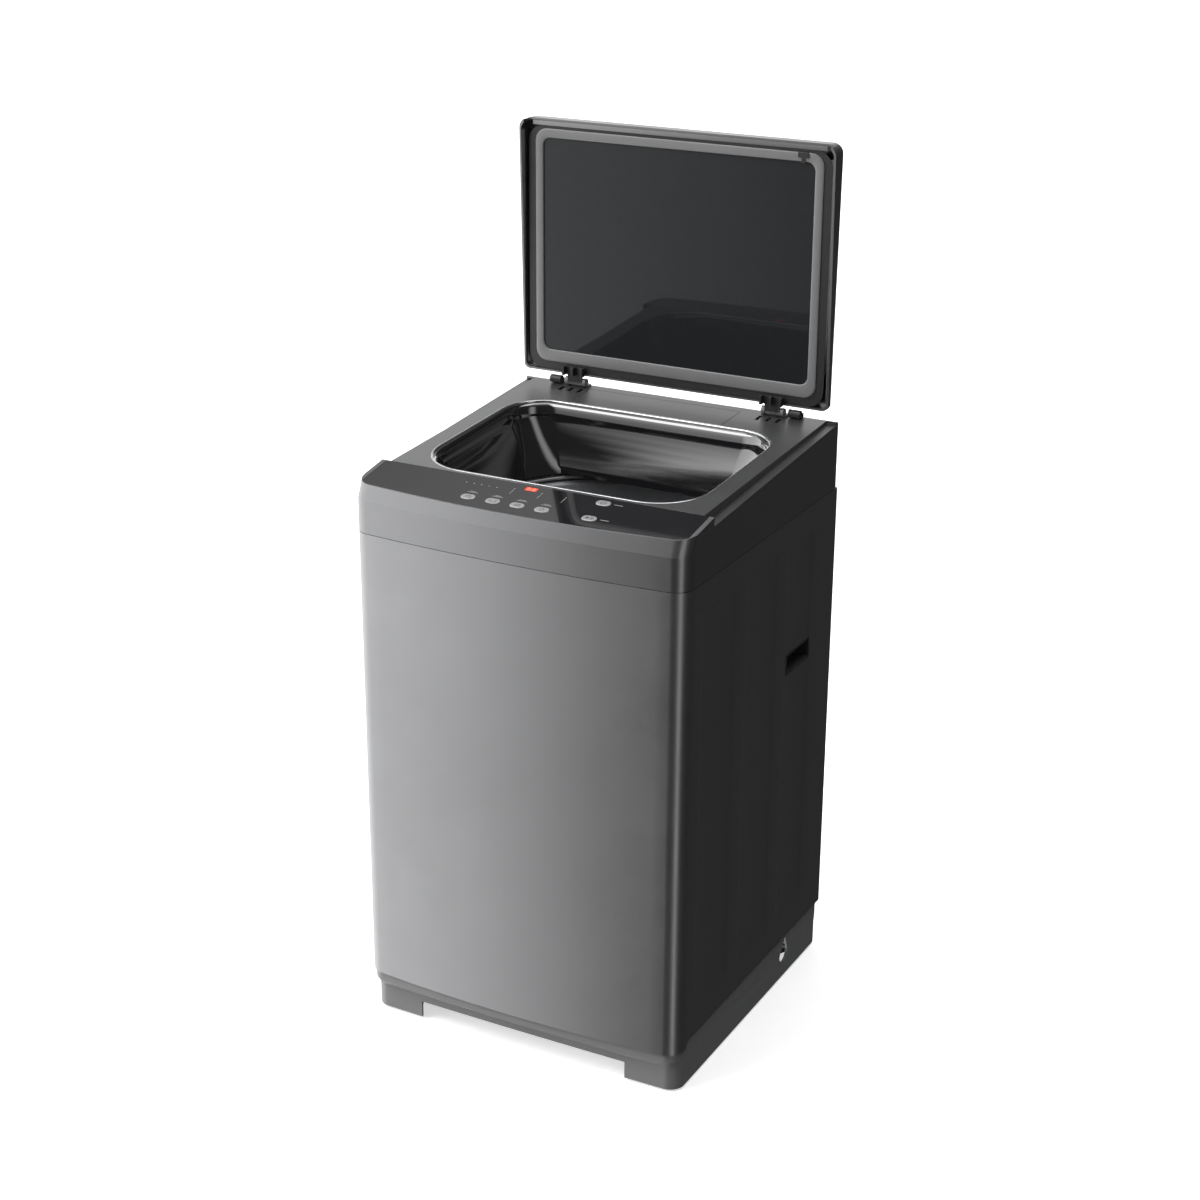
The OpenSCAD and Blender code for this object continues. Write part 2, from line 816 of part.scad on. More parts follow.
module drain_valve() {
  color("#e3e3df") difference() {
    union() {
      translate([valve_at[0], valve_at[1], 0]) pole(26, 176, 205.8);
      translate([valve_at[0], valve_at[1], 190]) rotate([-90, 0, 0]) cylinder(r = 13, h = 52);
      block([valve_at[0] - 60, valve_at[1] - 14, 180], [valve_at[0] - 20, valve_at[1] + 14, 202]);
    }
    translate([valve_at[0], valve_at[1], 0]) pole(19, 180, 210);
    translate([valve_at[0], valve_at[1], 190]) rotate([-90, 0, 0]) cylinder(r = 10, h = 60);
  }
}

// Corrugated hose from the valve down to the outlet
module drain_hose() {
  color("#3a3c3e") translate([valve_at[0] + 10, 0, 0]) rotate([90, 0, 90])
    translate([186, 188, -10]) rotate([0, 0, -54]) hose_run(70);
}

module hose_run(length) {
  rotate([0, 90, 0]) difference() {
    union() {
      cylinder(r = 13, h = length);
      for (x = [2:8:length - 6]) translate([0, 0, x]) cylinder(r = 16, h = 4);
    }
    translate([0, 0, -1]) cylinder(r = 11, h = length + 2);
  }
}

module drain_outlet() {
  color(black) translate([-120, 0, 110]) rotate([-90, 0, 0]) difference() {
    union() {
      translate([0, 0, 238]) cylinder(r = 12, h = 42);
      translate([0, 0, 262]) cylinder(r = 19, h = rear_y - 262);
    }
    translate([0, 0, 237]) cylinder(r = 9, h = 50);
  }
}

module cord_gland() {
  color(black) translate([200, 0, 220]) rotate([-90, 0, 0]) difference() {
    union() {
      translate([0, 0, rear_y]) cylinder(r = 7.8, h = 6);
      translate([0, 0, rear_y + 2]) cylinder(r = 11, h = 4);
      translate([0, 0, rear_y - 8]) cylinder(r = 10, h = 8);
    }
    translate([0, 0, rear_y - 10]) cylinder(r = 4, h = 30);
  }
}

module run_capacitor() {
  color("#d5d6d2") {
    translate([215, 243, 0]) pole(22, 130, 195);
    block([190, 263, 140], [240, 268, 170]);
  }
}

// ---------------------------------------------------------------- basket and pulsator

module basket_hub() {
  color("#a7aaad") {
    ring(12, 6 + run_gap, 164, 262);
    ring(80, 6 + run_gap, 254, 262);
  }
}

module basket_base() {
  color(steel) difference() {
    pole(basket_r - drum_t - 0.2, 262.1, 270);
    pole(12, 250, 280);
  }
}

module basket_drum() {
  color(steel) ring(basket_r, basket_r - drum_t, 262.1, ring_z0);
}

module balance_ring() {
  color("#9fa2a5") rotate_extrude($fn = 128) polygon([[ring_r, ring_z0 + 8], [ring_r + 8, ring_z0 + 0.1],
    [basket_r + 2, ring_z0 + 0.1], [basket_r + 2, ring_z1 - 5], [basket_r - 2, ring_z1],
    [ring_r + 9, ring_z1], [ring_r + 4, ring_z1 - 5]]);
}

module lint_filters() {
  color("#cfd1d2") for (a = [0, 180]) rotate([0, 0, a]) intersection() {
    ring(basket_r - drum_t - 0.2, 203, 330, 640);
    block([150, -46, 330], [240, 46, 640]);
  }
}

module pulsator() {
  color("#b9bbbd") difference() {
    union() {
      rotate_extrude($fn = 128) polygon([[0, 276], [pulsator_r, 276], [pulsator_r, 284],
        [110, 286], [50, 296], [30, 306], [0, 308]]);
      for (a = [0:60:300]) rotate([0, 0, a]) {
        block([30, -8, 282], [pulsator_r - 22, 8, 303]);
        translate([pulsator_r - 22, 0, 0]) pole(8, 282, 303);
      }
    }
    pole(6.1, 270, 300);
  }
}

module wash_shaft() {
  color(steel) {
    pole(6, 166, 300);
  }
}

cabinet_shell();
rear_panel();
rear_panel_screws();
base_frame();
fixed_feet();
levelling_foot();
top_cover();
control_panel_glass();
display_window();
control_board();
power_button();
start_button();
programme_button();
level_button();
wash_button();
delay_button();
opening_liner();
inlet_cover();
inlet_box();
inlet_valve();
lid_switch();
pressure_sensor();
hand_grip_left();
hand_grip_right();
suspension_brackets();
suspension_rods();
suspension_springs();
drain_outlet();
drain_hose();
cord_gland();
run_capacitor();
hinge_base_left();
hinge_base_right();
hinge_pins();
lid_dampers();
lid_shell();
lid_frame();
lid_glass();
lid_hinge_left();
lid_hinge_right();
lid_clip();
tub_wall();
tub_floor();
tub_ring();
mounting_plate();
clutch_housing();
motor_housing();
drain_valve();
spin_seal();
drive_belt();
basket_hub();
basket_base();
basket_drum();
balance_ring();
lint_filters();
pulsator();
wash_shaft();
drive_pulley();
motor_rotor();
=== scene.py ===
"""Top load washing machine with its lid open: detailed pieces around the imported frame."""

import math

import bmesh
import bpy
from mathutils import Matrix, Vector


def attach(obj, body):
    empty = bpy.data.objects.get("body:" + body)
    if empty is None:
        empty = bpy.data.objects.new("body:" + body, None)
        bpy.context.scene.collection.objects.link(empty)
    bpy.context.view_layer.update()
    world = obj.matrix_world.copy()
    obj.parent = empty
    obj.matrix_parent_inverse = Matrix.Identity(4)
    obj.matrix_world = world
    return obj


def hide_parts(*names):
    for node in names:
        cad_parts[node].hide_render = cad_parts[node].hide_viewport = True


bl_info = {
    "name": "Top Load Washing Machine",
    "version": (1, 0, 0),
    "blender": (4, 5, 0),
    "location": "3D View > Sidebar > Washer",
    "description": "Builds the pieces, finishes and stage of a top load washing machine",
    "category": "Add Mesh",
}

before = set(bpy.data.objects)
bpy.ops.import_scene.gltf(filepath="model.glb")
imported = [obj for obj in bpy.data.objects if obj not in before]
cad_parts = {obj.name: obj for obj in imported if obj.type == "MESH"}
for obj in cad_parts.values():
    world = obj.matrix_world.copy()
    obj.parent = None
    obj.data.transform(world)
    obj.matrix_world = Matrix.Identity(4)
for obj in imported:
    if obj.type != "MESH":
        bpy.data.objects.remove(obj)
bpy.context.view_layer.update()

MM = 0.001
# Body: half width, half depth, corner radius, bow of the front and thickness of the sheet
HALF_W, HALF_D = 0.280, 0.281
EDGE_R, FRONT_BOW = 0.028, 0.014
SHEET = 0.0012
# Top cover: its seam, the top of its front band, then the panel's and the deck's slopes
COVER_Z, BAND_Z = 0.829, 0.880
PANEL_Y0, PANEL_Y1 = -0.270, -0.180
PANEL_Z0, PANEL_Z1 = 0.902, 0.918
DECK_Y1, DECK_Z1 = 0.250, 0.940
PANEL_ANGLE = math.atan((PANEL_Z1 - PANEL_Z0) / (PANEL_Y1 - PANEL_Y0))
DECK_ANGLE = math.atan((DECK_Z1 - PANEL_Z1) / (DECK_Y1 - PANEL_Y1))
DRUM_R, DRUM_Z0, DRUM_Z1 = 0.2215, 0.2622, 0.7400
# Keys: the middle of each on the panel, across and along
KEYS = {"delay": (-0.090, -0.243), "wash": (-0.048, -0.243), "level": (-0.007, -0.243),
        "programme": (0.034, -0.243), "start": (0.112, -0.243), "power": (0.110, -0.196)}


def panel_z(y):
    """Height of the control panel's face at depth y."""
    return PANEL_Z0 + (y - PANEL_Y0) * math.tan(PANEL_ANGLE)


def deck_z(y):
    """Height of the deck's face at depth y."""
    return PANEL_Z1 + (y - PANEL_Y1) * math.tan(DECK_ANGLE)


# ------------------------------------------------------------------ settings

class WasherSizes(bpy.types.PropertyGroup):
    """Sizes a user may change."""
    edge_round: bpy.props.FloatProperty(
        name="Edge rounding", description="Rounding of the hinge brackets and the hanging rods",
        default=0.0005, min=0.0001, max=0.002, unit="LENGTH")
    cover_round: bpy.props.FloatProperty(
        name="Cover rounding", description="Rounding of the top cover's long edges",
        default=0.0022, min=0.0005, max=0.0026, unit="LENGTH")
    lip_radius: bpy.props.FloatProperty(
        name="Well lip", description="Radius of the rolled lip at the top of the wash well",
        default=0.022, min=0.012, max=0.026, unit="LENGTH")
    press_depth: bpy.props.FloatProperty(
        name="Pressing depth", description="Depth of the pressed fields in the side walls",
        default=0.0014, min=0.0005, max=0.0014, unit="LENGTH")
    hole_columns: bpy.props.IntProperty(
        name="Drum columns", description="Perforations around the drum", default=64, min=24, max=96)
    hole_rows: bpy.props.IntProperty(
        name="Drum rows", description="Perforations up the drum", default=22, min=8, max=40)
    spring_turns: bpy.props.FloatProperty(
        name="Spring turns", description="Turns of each suspension spring", default=5.0, min=3, max=9)


def colour_property(label, words, value):
    """A colour setting."""
    return bpy.props.FloatVectorProperty(name=label, description=words, subtype="COLOR",
                                         size=3, min=0.0, max=1.0, default=value)


class WasherColours(bpy.types.PropertyGroup):
    """Colours a user may change."""
    paint: colour_property("Cabinet paint", "Metallic grey of the cabinet", (0.166, 0.167, 0.170))
    cover: colour_property("Cover", "Grey of the top cover and lid", (0.150, 0.151, 0.154))
    base: colour_property("Base", "Grey of the moulded base", (0.150, 0.151, 0.154))
    trim: colour_property("Trim", "Grey of the lid's inner frame and hinges", (0.165, 0.166, 0.168))
    gloss_black: colour_property("Gloss black", "Black of the panel and well", (0.008, 0.008, 0.009))
    silver: colour_property("Silver", "Silver of the keys", (0.30, 0.302, 0.307))
    steel: colour_property("Steel", "Stainless steel of the drum", (0.60, 0.605, 0.615))
    moulded: colour_property("Moulding", "Off-white of hidden mouldings", (0.66, 0.67, 0.66))
    ring: colour_property("Ring", "Grey of the balance ring and pulsator", (0.27, 0.275, 0.285))


def sizes():
    """The sizes now set."""
    return bpy.context.scene.washer_sizes


def colours():
    """The colours now set."""
    return bpy.context.scene.washer_colours


# ------------------------------------------------------------------ shader groups

def shader_group(name, inputs, outputs):
    """An empty shader node group with named sockets; returns it with its two end nodes."""
    tree = bpy.data.node_groups.new(name, "ShaderNodeTree")
    for label, kind, value in inputs:
        tree.interface.new_socket(label, in_out="INPUT", socket_type=kind).default_value = value
    for label, kind in outputs:
        tree.interface.new_socket(label, in_out="OUTPUT", socket_type=kind)
    return tree, tree.nodes.new("NodeGroupInput"), tree.nodes.new("NodeGroupOutput")


FLOAT, COLOUR, VECTOR = "NodeSocketFloat", "NodeSocketColor", "NodeSocketVector"


def feed(tree, made, values):
    """Sets a node's inputs; a value may be another node's socket."""
    for key, value in values.items():
        if isinstance(value, bpy.types.NodeSocket):
            tree.links.new(value, made.inputs[key])
        else:
            made.inputs[key].default_value = value
    return made


def node(tree, kind, values=None, **attributes):
    """A node with its attributes and input values set."""
    made = tree.nodes.new(kind)
    for key, value in attributes.items():
        setattr(made, key, value)
    return feed(tree, made, values or {})


def grain_group():
    """Fine moulded or sprayed grain: a height that changes over the surface."""
    tree, given, out = shader_group("fine_grain", [("Scale", FLOAT, 900.0), ("Detail", FLOAT, 3.0)],
                                    [("Height", FLOAT)])
    place = node(tree, "ShaderNodeTexCoord")
    noise = node(tree, "ShaderNodeTexNoise", {"Vector": place.outputs["Object"],
                 "Scale": given.outputs["Scale"], "Detail": given.outputs["Detail"]})
    tree.links.new(noise.outputs["Fac"], out.inputs["Height"])
    return tree


def smudge_group():
    """Handling marks: roughness that wanders between two values, with faint fine scuffs."""
    tree, given, out = shader_group("smudges", [("Low", FLOAT, 0.2), ("High", FLOAT, 0.35),
                                    ("Scale", FLOAT, 9.0)], [("Roughness", FLOAT)])
    place = node(tree, "ShaderNodeTexCoord")
    wide = node(tree, "ShaderNodeTexNoise", {"Vector": place.outputs["Object"],
                "Scale": given.outputs["Scale"], "Detail": 5.0, "Roughness": 0.6})
    stretch = node(tree, "ShaderNodeMapping", {"Vector": place.outputs["Object"],
                   "Scale": (60.0, 400.0, 60.0), "Rotation": (0.3, 0.2, 0.7)})
    fine = node(tree, "ShaderNodeTexNoise", {"Vector": stretch.outputs["Vector"], "Scale": 1.0})
    both = node(tree, "ShaderNodeMath", {0: fine.outputs["Fac"], 1: 0.35, 2: wide.outputs["Fac"]},
                operation="MULTIPLY_ADD")
    spread = node(tree, "ShaderNodeMapRange", {"Value": both.outputs[0], "From Min": 0.45,
                  "From Max": 0.95, "To Min": given.outputs["Low"], "To Max": given.outputs["High"]})
    tree.links.new(spread.outputs["Result"], out.inputs["Roughness"])
    return tree


def flake_group():
    """Metallic paint: the tone changes from flake to flake, and slowly over the surface."""
    tree, given, out = shader_group("paint_flake", [("Colour", COLOUR, (0.2, 0.2, 0.2, 1)),
                                    ("Spread", FLOAT, 0.12), ("Scale", FLOAT, 2600.0)],
                                    [("Colour", COLOUR)])
    place = node(tree, "ShaderNodeTexCoord")
    cells = node(tree, "ShaderNodeTexVoronoi", {"Vector": place.outputs["Object"],
                 "Scale": given.outputs["Scale"]})
    shade = node(tree, "ShaderNodeMapRange", {"Value": cells.outputs["Distance"], "From Max": 0.7})
    wander = node(tree, "ShaderNodeTexNoise", {"Vector": place.outputs["Object"], "Scale": 2.5})
    mixed = node(tree, "ShaderNodeMath", {0: shade.outputs["Result"], 1: 0.6,
                 2: wander.outputs["Fac"]}, operation="MULTIPLY_ADD")
    gain = node(tree, "ShaderNodeMath", {0: mixed.outputs[0], 1: given.outputs["Spread"], 2: 0.94},
                operation="MULTIPLY_ADD")
    tint = node(tree, "ShaderNodeVectorMath", {0: given.outputs["Colour"], "Scale": gain.outputs[0]},
                operation="SCALE")
    tree.links.new(tint.outputs["Vector"], out.inputs["Colour"])
    return tree


def brushed_group():
    """Brushed metal: fine lines along the axes that the stretch leaves long, for height and gloss."""
    tree, given, out = shader_group("brushed_lines", [("Stretch", VECTOR, (4.0, 4.0, 900.0)),
                                    ("Low", FLOAT, 0.22), ("High", FLOAT, 0.42)],
                                    [("Height", FLOAT), ("Roughness", FLOAT)])
    place = node(tree, "ShaderNodeTexCoord")
    stretch = node(tree, "ShaderNodeMapping", {"Vector": place.outputs["Object"],
                   "Scale": given.outputs["Stretch"]})
    lines = node(tree, "ShaderNodeTexNoise", {"Vector": stretch.outputs["Vector"], "Scale": 1.0,
                 "Detail": 4.0})
    spread = node(tree, "ShaderNodeMapRange", {"Value": lines.outputs["Fac"], "From Min": 0.3,
                  "From Max": 0.7, "To Min": given.outputs["Low"], "To Max": given.outputs["High"]})
    tree.links.new(lines.outputs["Fac"], out.inputs["Height"])
    tree.links.new(spread.outputs["Result"], out.inputs["Roughness"])
    return tree


def dust_group():
    """Settled dust: a pale tone mixed in by patches where the surface faces up."""
    tree, given, out = shader_group("settled_dust", [("Colour", COLOUR, (0.2, 0.2, 0.2, 1)),
                                    ("Dust", COLOUR, (0.42, 0.41, 0.39, 1)), ("Amount", FLOAT, 0.05)],
                                    [("Colour", COLOUR)])
    place = node(tree, "ShaderNodeTexCoord")
    facing = node(tree, "ShaderNodeSeparateXYZ", {"Vector": place.outputs["Normal"]})
    patch = node(tree, "ShaderNodeTexNoise", {"Vector": place.outputs["Object"], "Scale": 22.0,
                 "Detail": 6.0})
    up = node(tree, "ShaderNodeMath", {0: facing.outputs["Z"], 1: patch.outputs["Fac"]},
              operation="MULTIPLY", use_clamp=True)
    share = node(tree, "ShaderNodeMath", {0: up.outputs[0], 1: given.outputs["Amount"]},
                 operation="MULTIPLY", use_clamp=True)
    mix = node(tree, "ShaderNodeMix", {0: share.outputs[0]}, data_type="RGBA")
    tree.links.new(given.outputs["Colour"], mix.inputs[6])
    tree.links.new(given.outputs["Dust"], mix.inputs[7])
    tree.links.new(mix.outputs[2], out.inputs["Colour"])
    return tree


GROUPS = {}


def group(name):
    """A shared shader group, built the first time it is asked for."""
    makers = {"grain": grain_group, "smudge": smudge_group, "flake": flake_group,
              "brushed": brushed_group, "dust": dust_group}
    if name not in GROUPS:
        GROUPS[name] = makers[name]()
    return GROUPS[name]


def place_group(tree, name, **values):
    """A shared group placed in a material, with its own values."""
    made = tree.nodes.new("ShaderNodeGroup")
    made.node_tree = group(name)
    return feed(tree, made, values)


# ------------------------------------------------------------------ finishes

MATERIALS = {}
# How the tone of a finish without flakes wanders
PLAIN_TONE = {"Spread": 0.08, "Scale": 60.0}


def finish(name, colour, rough=(0.25, 0.35), metallic=0.0, coat=0.0, coat_rough=0.05, ior=1.46,
           flake=0.0, grain=(900.0, 0.1, 0.0002), brushed=None, dust=0.05, emission=0.0, smudge=9.0):
    """A material from the shared effects.

    rough is the span of its roughness, and grain its scale, bump strength and bump distance."""
    if name in MATERIALS:
        return MATERIALS[name]
    made = bpy.data.materials.new(name)
    made.use_nodes = True
    tree = made.node_tree
    shader = tree.nodes["Principled BSDF"]
    rgba = (*colour, 1.0)
    made.diffuse_color = rgba
    speck = {"Spread": flake} if flake else PLAIN_TONE
    tone = place_group(tree, "flake", Colour=rgba, **speck)
    settled = place_group(tree, "dust", Colour=tone.outputs["Colour"], Amount=dust)
    tree.links.new(settled.outputs["Colour"], shader.inputs["Base Color"])
    if brushed:
        lines = place_group(tree, "brushed", Stretch=brushed, Low=rough[0], High=rough[1])
        height, roughness = lines.outputs["Height"], lines.outputs["Roughness"]
    else:
        height = place_group(tree, "grain", Scale=grain[0]).outputs["Height"]
        roughness = place_group(tree, "smudge", Low=rough[0], High=rough[1],
                                Scale=smudge).outputs["Roughness"]
    tree.links.new(roughness, shader.inputs["Roughness"])
    bump = node(tree, "ShaderNodeBump", {"Height": height, "Strength": grain[1],
                "Distance": grain[2]})
    tree.links.new(bump.outputs["Normal"], shader.inputs["Normal"])
    shader.inputs["Metallic"].default_value = metallic
    shader.inputs["IOR"].default_value = ior
    shader.inputs["Coat Weight"].default_value = coat
    shader.inputs["Coat Roughness"].default_value = coat_rough
    if emission:
        shader.inputs["Emission Color"].default_value = rgba
        shader.inputs["Emission Strength"].default_value = emission
    MATERIALS[name] = made
    return made


def cabinet_paint():
    return finish("cabinet_paint", colours().paint, (0.33, 0.40), metallic=0.85, coat=0.15,
                  coat_rough=0.2, flake=0.16, grain=(420.0, 0.05, 0.0003), dust=0.0)


def cover_gloss():
    return finish("cover_gloss", colours().cover, (0.30, 0.36), metallic=0.85, flake=0.16,
                  grain=(420.0, 0.05, 0.0003), dust=0.0)


def base_moulding():
    return finish("base_moulding", colours().base, (0.42, 0.55), grain=(1400.0, 0.25, 0.0002))


def trim_satin():
    return finish("trim_satin", colours().trim, (0.34, 0.44), coat=0.15, coat_rough=0.2,
                  grain=(1200.0, 0.12, 0.0002))


def panel_black():
    return finish("panel_black", colours().gloss_black, (0.03, 0.07), coat=0.5, coat_rough=0.02,
                  ior=1.52, grain=(30.0, 0.01, 0.0002), dust=0.01)


def well_black():
    return finish("well_black", colours().gloss_black, (0.05, 0.09), coat=0.8, coat_rough=0.04,
                  ior=1.7, grain=(60.0, 0.02, 0.0003), dust=0.02)


# Painted highlight: the bead is coloured silver grey, lighter than the cover it belongs to, so that
# the opening's rolled lip shows bright; its gloss and coat are real
def bead_gloss():
    return finish("bead_gloss", (0.30, 0.302, 0.306), (0.07, 0.12), metallic=0.8, coat=1.0,
                  coat_rough=0.04, flake=0.06, grain=(400.0, 0.02, 0.0002), dust=0.0)


def moulded_black():
    return finish("moulded_black", (0.014, 0.014, 0.015), (0.42, 0.58), grain=(1500.0, 0.3, 0.0002))


def rubber_black():
    return finish("rubber_black", (0.018, 0.018, 0.018), (0.62, 0.80), grain=(800.0, 0.4, 0.0003),
                  dust=0.12)


def key_silver():
    return finish("key_silver", colours().silver, (0.26, 0.34), metallic=0.45, coat=0.3,
                  coat_rough=0.1, flake=0.06, grain=(1800.0, 0.06, 0.0001), dust=0.0)


def floor_pale():
    return finish("floor_pale", (0.80, 0.80, 0.80), (0.6, 0.75), grain=(60.0, 0.02, 0.0005),
                  dust=0.0, emission=0.72)


def zinc_plate():
    return finish("zinc_plate", (0.52, 0.53, 0.54), (0.28, 0.44), metallic=1.0,
                  grain=(300.0, 0.15, 0.0002), dust=0.04)


def drum_steel():
    return finish("drum_steel", colours().steel, (0.20, 0.32), metallic=1.0,
                  brushed=(3.0, 3.0, 700.0), grain=(1.0, 0.05, 0.0001), dust=0.0)


def ring_moulding():
    return finish("ring_moulding", colours().ring, (0.30, 0.42), grain=(1000.0, 0.12, 0.0002))


def white_moulding():
    return finish("white_moulding", colours().moulded, (0.38, 0.52), grain=(900.0, 0.15, 0.0003),
                  dust=0.10)


def rear_moulding():
    return finish("rear_moulding", (0.26, 0.265, 0.27), (0.42, 0.56), grain=(1100.0, 0.3, 0.0002),
                  dust=0.06)


def cast_alloy():
    return finish("cast_alloy", (0.46, 0.465, 0.47), (0.40, 0.60), metallic=0.9,
                  grain=(380.0, 0.4, 0.0004), dust=0.05)


def motor_enamel():
    return finish("motor_enamel", (0.40, 0.405, 0.41), (0.36, 0.50), grain=(300.0, 0.2, 0.0003),
                  dust=0.06)


def board_green():
    return finish("board_green", (0.02, 0.13, 0.055), (0.30, 0.45), grain=(700.0, 0.2, 0.0002))


def digit_red():
    return finish("digit_red", (1.0, 0.22, 0.14), (0.2, 0.3), emission=2.2, dust=0.0)


def display_red():
    return finish("display_red", (0.55, 0.035, 0.02), (0.15, 0.25), emission=0.9,
                  grain=(900.0, 0.05, 0.0001), dust=0.0)


def print_grey():
    return finish("print_grey", (0.24, 0.241, 0.243), (0.40, 0.50), grain=(900.0, 0.1, 0.0001),
                  dust=0.0)


def icon_dark():
    return finish("icon_dark", (0.012, 0.012, 0.013), (0.40, 0.50), grain=(900.0, 0.1, 0.0001),
                  dust=0.0)


def tinted_glass():
    """Dark tinted glass, deep enough in tone to be drawn as a glossy near-black."""
    return finish("tinted_glass", (0.020, 0.021, 0.023), (0.015, 0.04), ior=1.31,
                  grain=(12.0, 0.004, 0.0005), dust=0.0, smudge=4.0)


# ------------------------------------------------------------------ meshes

# Edges sharper than these are shaded sharp, get a rounding, or stay sharp on an unrounded copy
SMOOTH_ANGLE = math.radians(38)
FEATURE_ANGLE = math.radians(20)
UNROUNDED_ANGLE = math.radians(12)
# Flat areas within this angle are joined, vertices within these distances are one
FLAT_ANGLE = math.radians(0.15)
CAD_MERGE, RING_MERGE = 0.00002, 0.00001
# A face whose triangles miss its area by more, in square metres, would show torn
TORN_AREA = 1e-6
# How much the large faces lead the shading
FACE_LEAD = 80


def add_object(name, data):
    """A new object in the scene's collection."""
    made = bpy.data.objects.new(name, data)
    bpy.context.scene.collection.objects.link(made)
    return made


def baked(source):
    """The object's modifiers turned into a plain mesh on a new object; the source is removed."""
    bpy.context.view_layer.update()
    graph = bpy.context.evaluated_depsgraph_get()
    mesh = bpy.data.meshes.new_from_object(source.evaluated_get(graph),
                                           preserve_all_data_layers=True, depsgraph=graph)
    label = source.name
    old = source.data
    bpy.data.objects.remove(source)
    if old.users == 0:
        bpy.data.meshes.remove(old)
    mesh.name = label
    return add_object(label, mesh)


def settle(obj, body, material, replaced=(), sharp=SMOOTH_ANGLE):
    """Last steps for every piece: shading, one material, its body and replaced nodes."""
    mesh = obj.data
    if sharp is not None:
        mesh.shade_smooth()
        mesh.set_sharp_from_angle(angle=sharp)
    if material is not None:
        mesh.materials.clear()
        mesh.materials.append(material)
    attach(obj, body)
    if replaced:
        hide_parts(*replaced)
    return obj


def from_bmesh(name, bm):
    """A new object from a finished bmesh."""
    mesh = bpy.data.meshes.new(name)
    bm.to_mesh(mesh)
    bm.free()
    return add_object(name, mesh)


def weighted(obj):
    """Shading normals led by the large faces, so that flats look flat beside rounded edges."""
    obj.data.shade_smooth()
    obj.data.set_sharp_from_angle(angle=SMOOTH_ANGLE)
    modifier = obj.modifiers.new("weighted", "WEIGHTED_NORMAL")
    modifier.keep_sharp = True
    modifier.weight = FACE_LEAD
    return baked(obj)


def tangled(mesh):
    """True if a face's triangles do not add up to the face, so that it would show torn."""
    mesh.calc_loop_triangles()
    areas = [0.0] * len(mesh.polygons)
    for triangle in mesh.loop_triangles:
        areas[triangle.polygon_index] += triangle.area
    return any(abs(areas[face.index] - face.area) > TORN_AREA for face in mesh.polygons)


def node_bmesh(cad, merge):
    """Copy of a CAD node's mesh, with its flat areas joined if asked."""
    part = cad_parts[cad]
    bm = bmesh.new()
    bm.from_mesh(part.data)
    bm.transform(part.matrix_world)
    bmesh.ops.remove_doubles(bm, verts=bm.verts, dist=CAD_MERGE)
    if merge:
        bmesh.ops.dissolve_limit(bm, angle_limit=FLAT_ANGLE, verts=bm.verts, edges=bm.edges)
    return bm


def rounded_copy(cad, label, width, segments, heavy, heavy_width, merge):
    """One try at a rounded copy of a CAD node; no rounding when width is 0."""
    bm = node_bmesh(cad, merge)
    layer = bm.edges.layers.float.new("bevel_weight_edge")
    top = heavy_width if heavy else width
    for edge in bm.edges:
        if width and len(edge.link_faces) == 2 and edge.calc_face_angle(0.0) > FEATURE_ANGLE:
            middle = (edge.verts[0].co + edge.verts[1].co) / 2
            edge[layer] = 1.0 if heavy and heavy(middle) else width / top
    obj = from_bmesh(label, bm)
    if width:
        modifier = obj.modifiers.new("round", "BEVEL")
        modifier.limit_method = "WEIGHT"
        modifier.width = top
        modifier.segments = segments
        modifier.use_clamp_overlap = True
        modifier.miter_outer = "MITER_ARC"
        return weighted(baked(obj))
    obj.data.shade_smooth()
    obj.data.set_sharp_from_angle(angle=UNROUNDED_ANGLE)
    return obj


def softened(cad, label, width=None, segments=2, heavy=None, heavy_width=None):
    """Copy of a CAD node with rounded edges; heavy(point) picks edges that get the wider rounding.

    A copy that comes out torn is made again from the unjoined mesh, and at last left unrounded."""
    width = sizes().edge_round if width is None else width
    for merge in (True, False):
        obj = rounded_copy(cad, label, width, segments, heavy, heavy_width, merge)
        if not tangled(obj.data):
            return obj
        drop(obj)
    return rounded_copy(cad, label, 0.0, segments, None, None, False)


def copied(cad, label, body, slot_name, material, **rounding):
    """A rounded copy of one CAD node, settled in that node's place."""
    return settle(softened(cad, label, **rounding), body, material, (cad,), sharp=None)


def drop(obj):
    """Removes a helper object and its mesh."""
    mesh = obj.data
    bpy.data.objects.remove(obj)
    bpy.data.meshes.remove(mesh)


def loft(name, rings):
    """Skin over closed rings of points, all of one length."""
    bm = bmesh.new()
    rows = [[bm.verts.new(p) for p in ring] for ring in rings]
    count = len(rows[0])
    for lower, upper in zip(rows, rows[1:]):
        for i in range(count):
            j = (i + 1) % count
            bm.faces.new((lower[i], lower[j], upper[j], upper[i]))
    bmesh.ops.remove_doubles(bm, verts=bm.verts, dist=RING_MERGE)
    return from_bmesh(name, bm)


def thicken(obj, wall):
    """Gives a skin its wall, on the side away from its faces, then bakes it."""
    modifier = obj.modifiers.new("wall", "SOLIDIFY")
    modifier.thickness = wall
    modifier.offset = -1.0
    modifier.use_even_offset = True
    return baked(obj)


def outward(obj):
    """Turns a closed mesh's faces to point out."""
    bm = bmesh.new()
    bm.from_mesh(obj.data)
    bmesh.ops.recalc_face_normals(bm, faces=bm.faces)
    bm.to_mesh(obj.data)
    bm.free()
    return obj


def joined(name, parts):
    """Several new objects made into one."""
    bm = bmesh.new()
    for part in parts:
        bm.from_mesh(part.data)
        mesh = part.data
        bpy.data.objects.remove(part)
        bpy.data.meshes.remove(mesh)
    return from_bmesh(name, bm)


def slab(low, high):
    """Plain block between two corners as a bmesh."""
    bm = bmesh.new()
    bmesh.ops.create_cube(bm, size=1.0)
    middle = (Vector(low) + Vector(high)) / 2
    spread = Vector(high) - Vector(low)
    bm.transform(Matrix.Translation(middle) @ Matrix.Diagonal((*spread, 1.0)))
    return bm


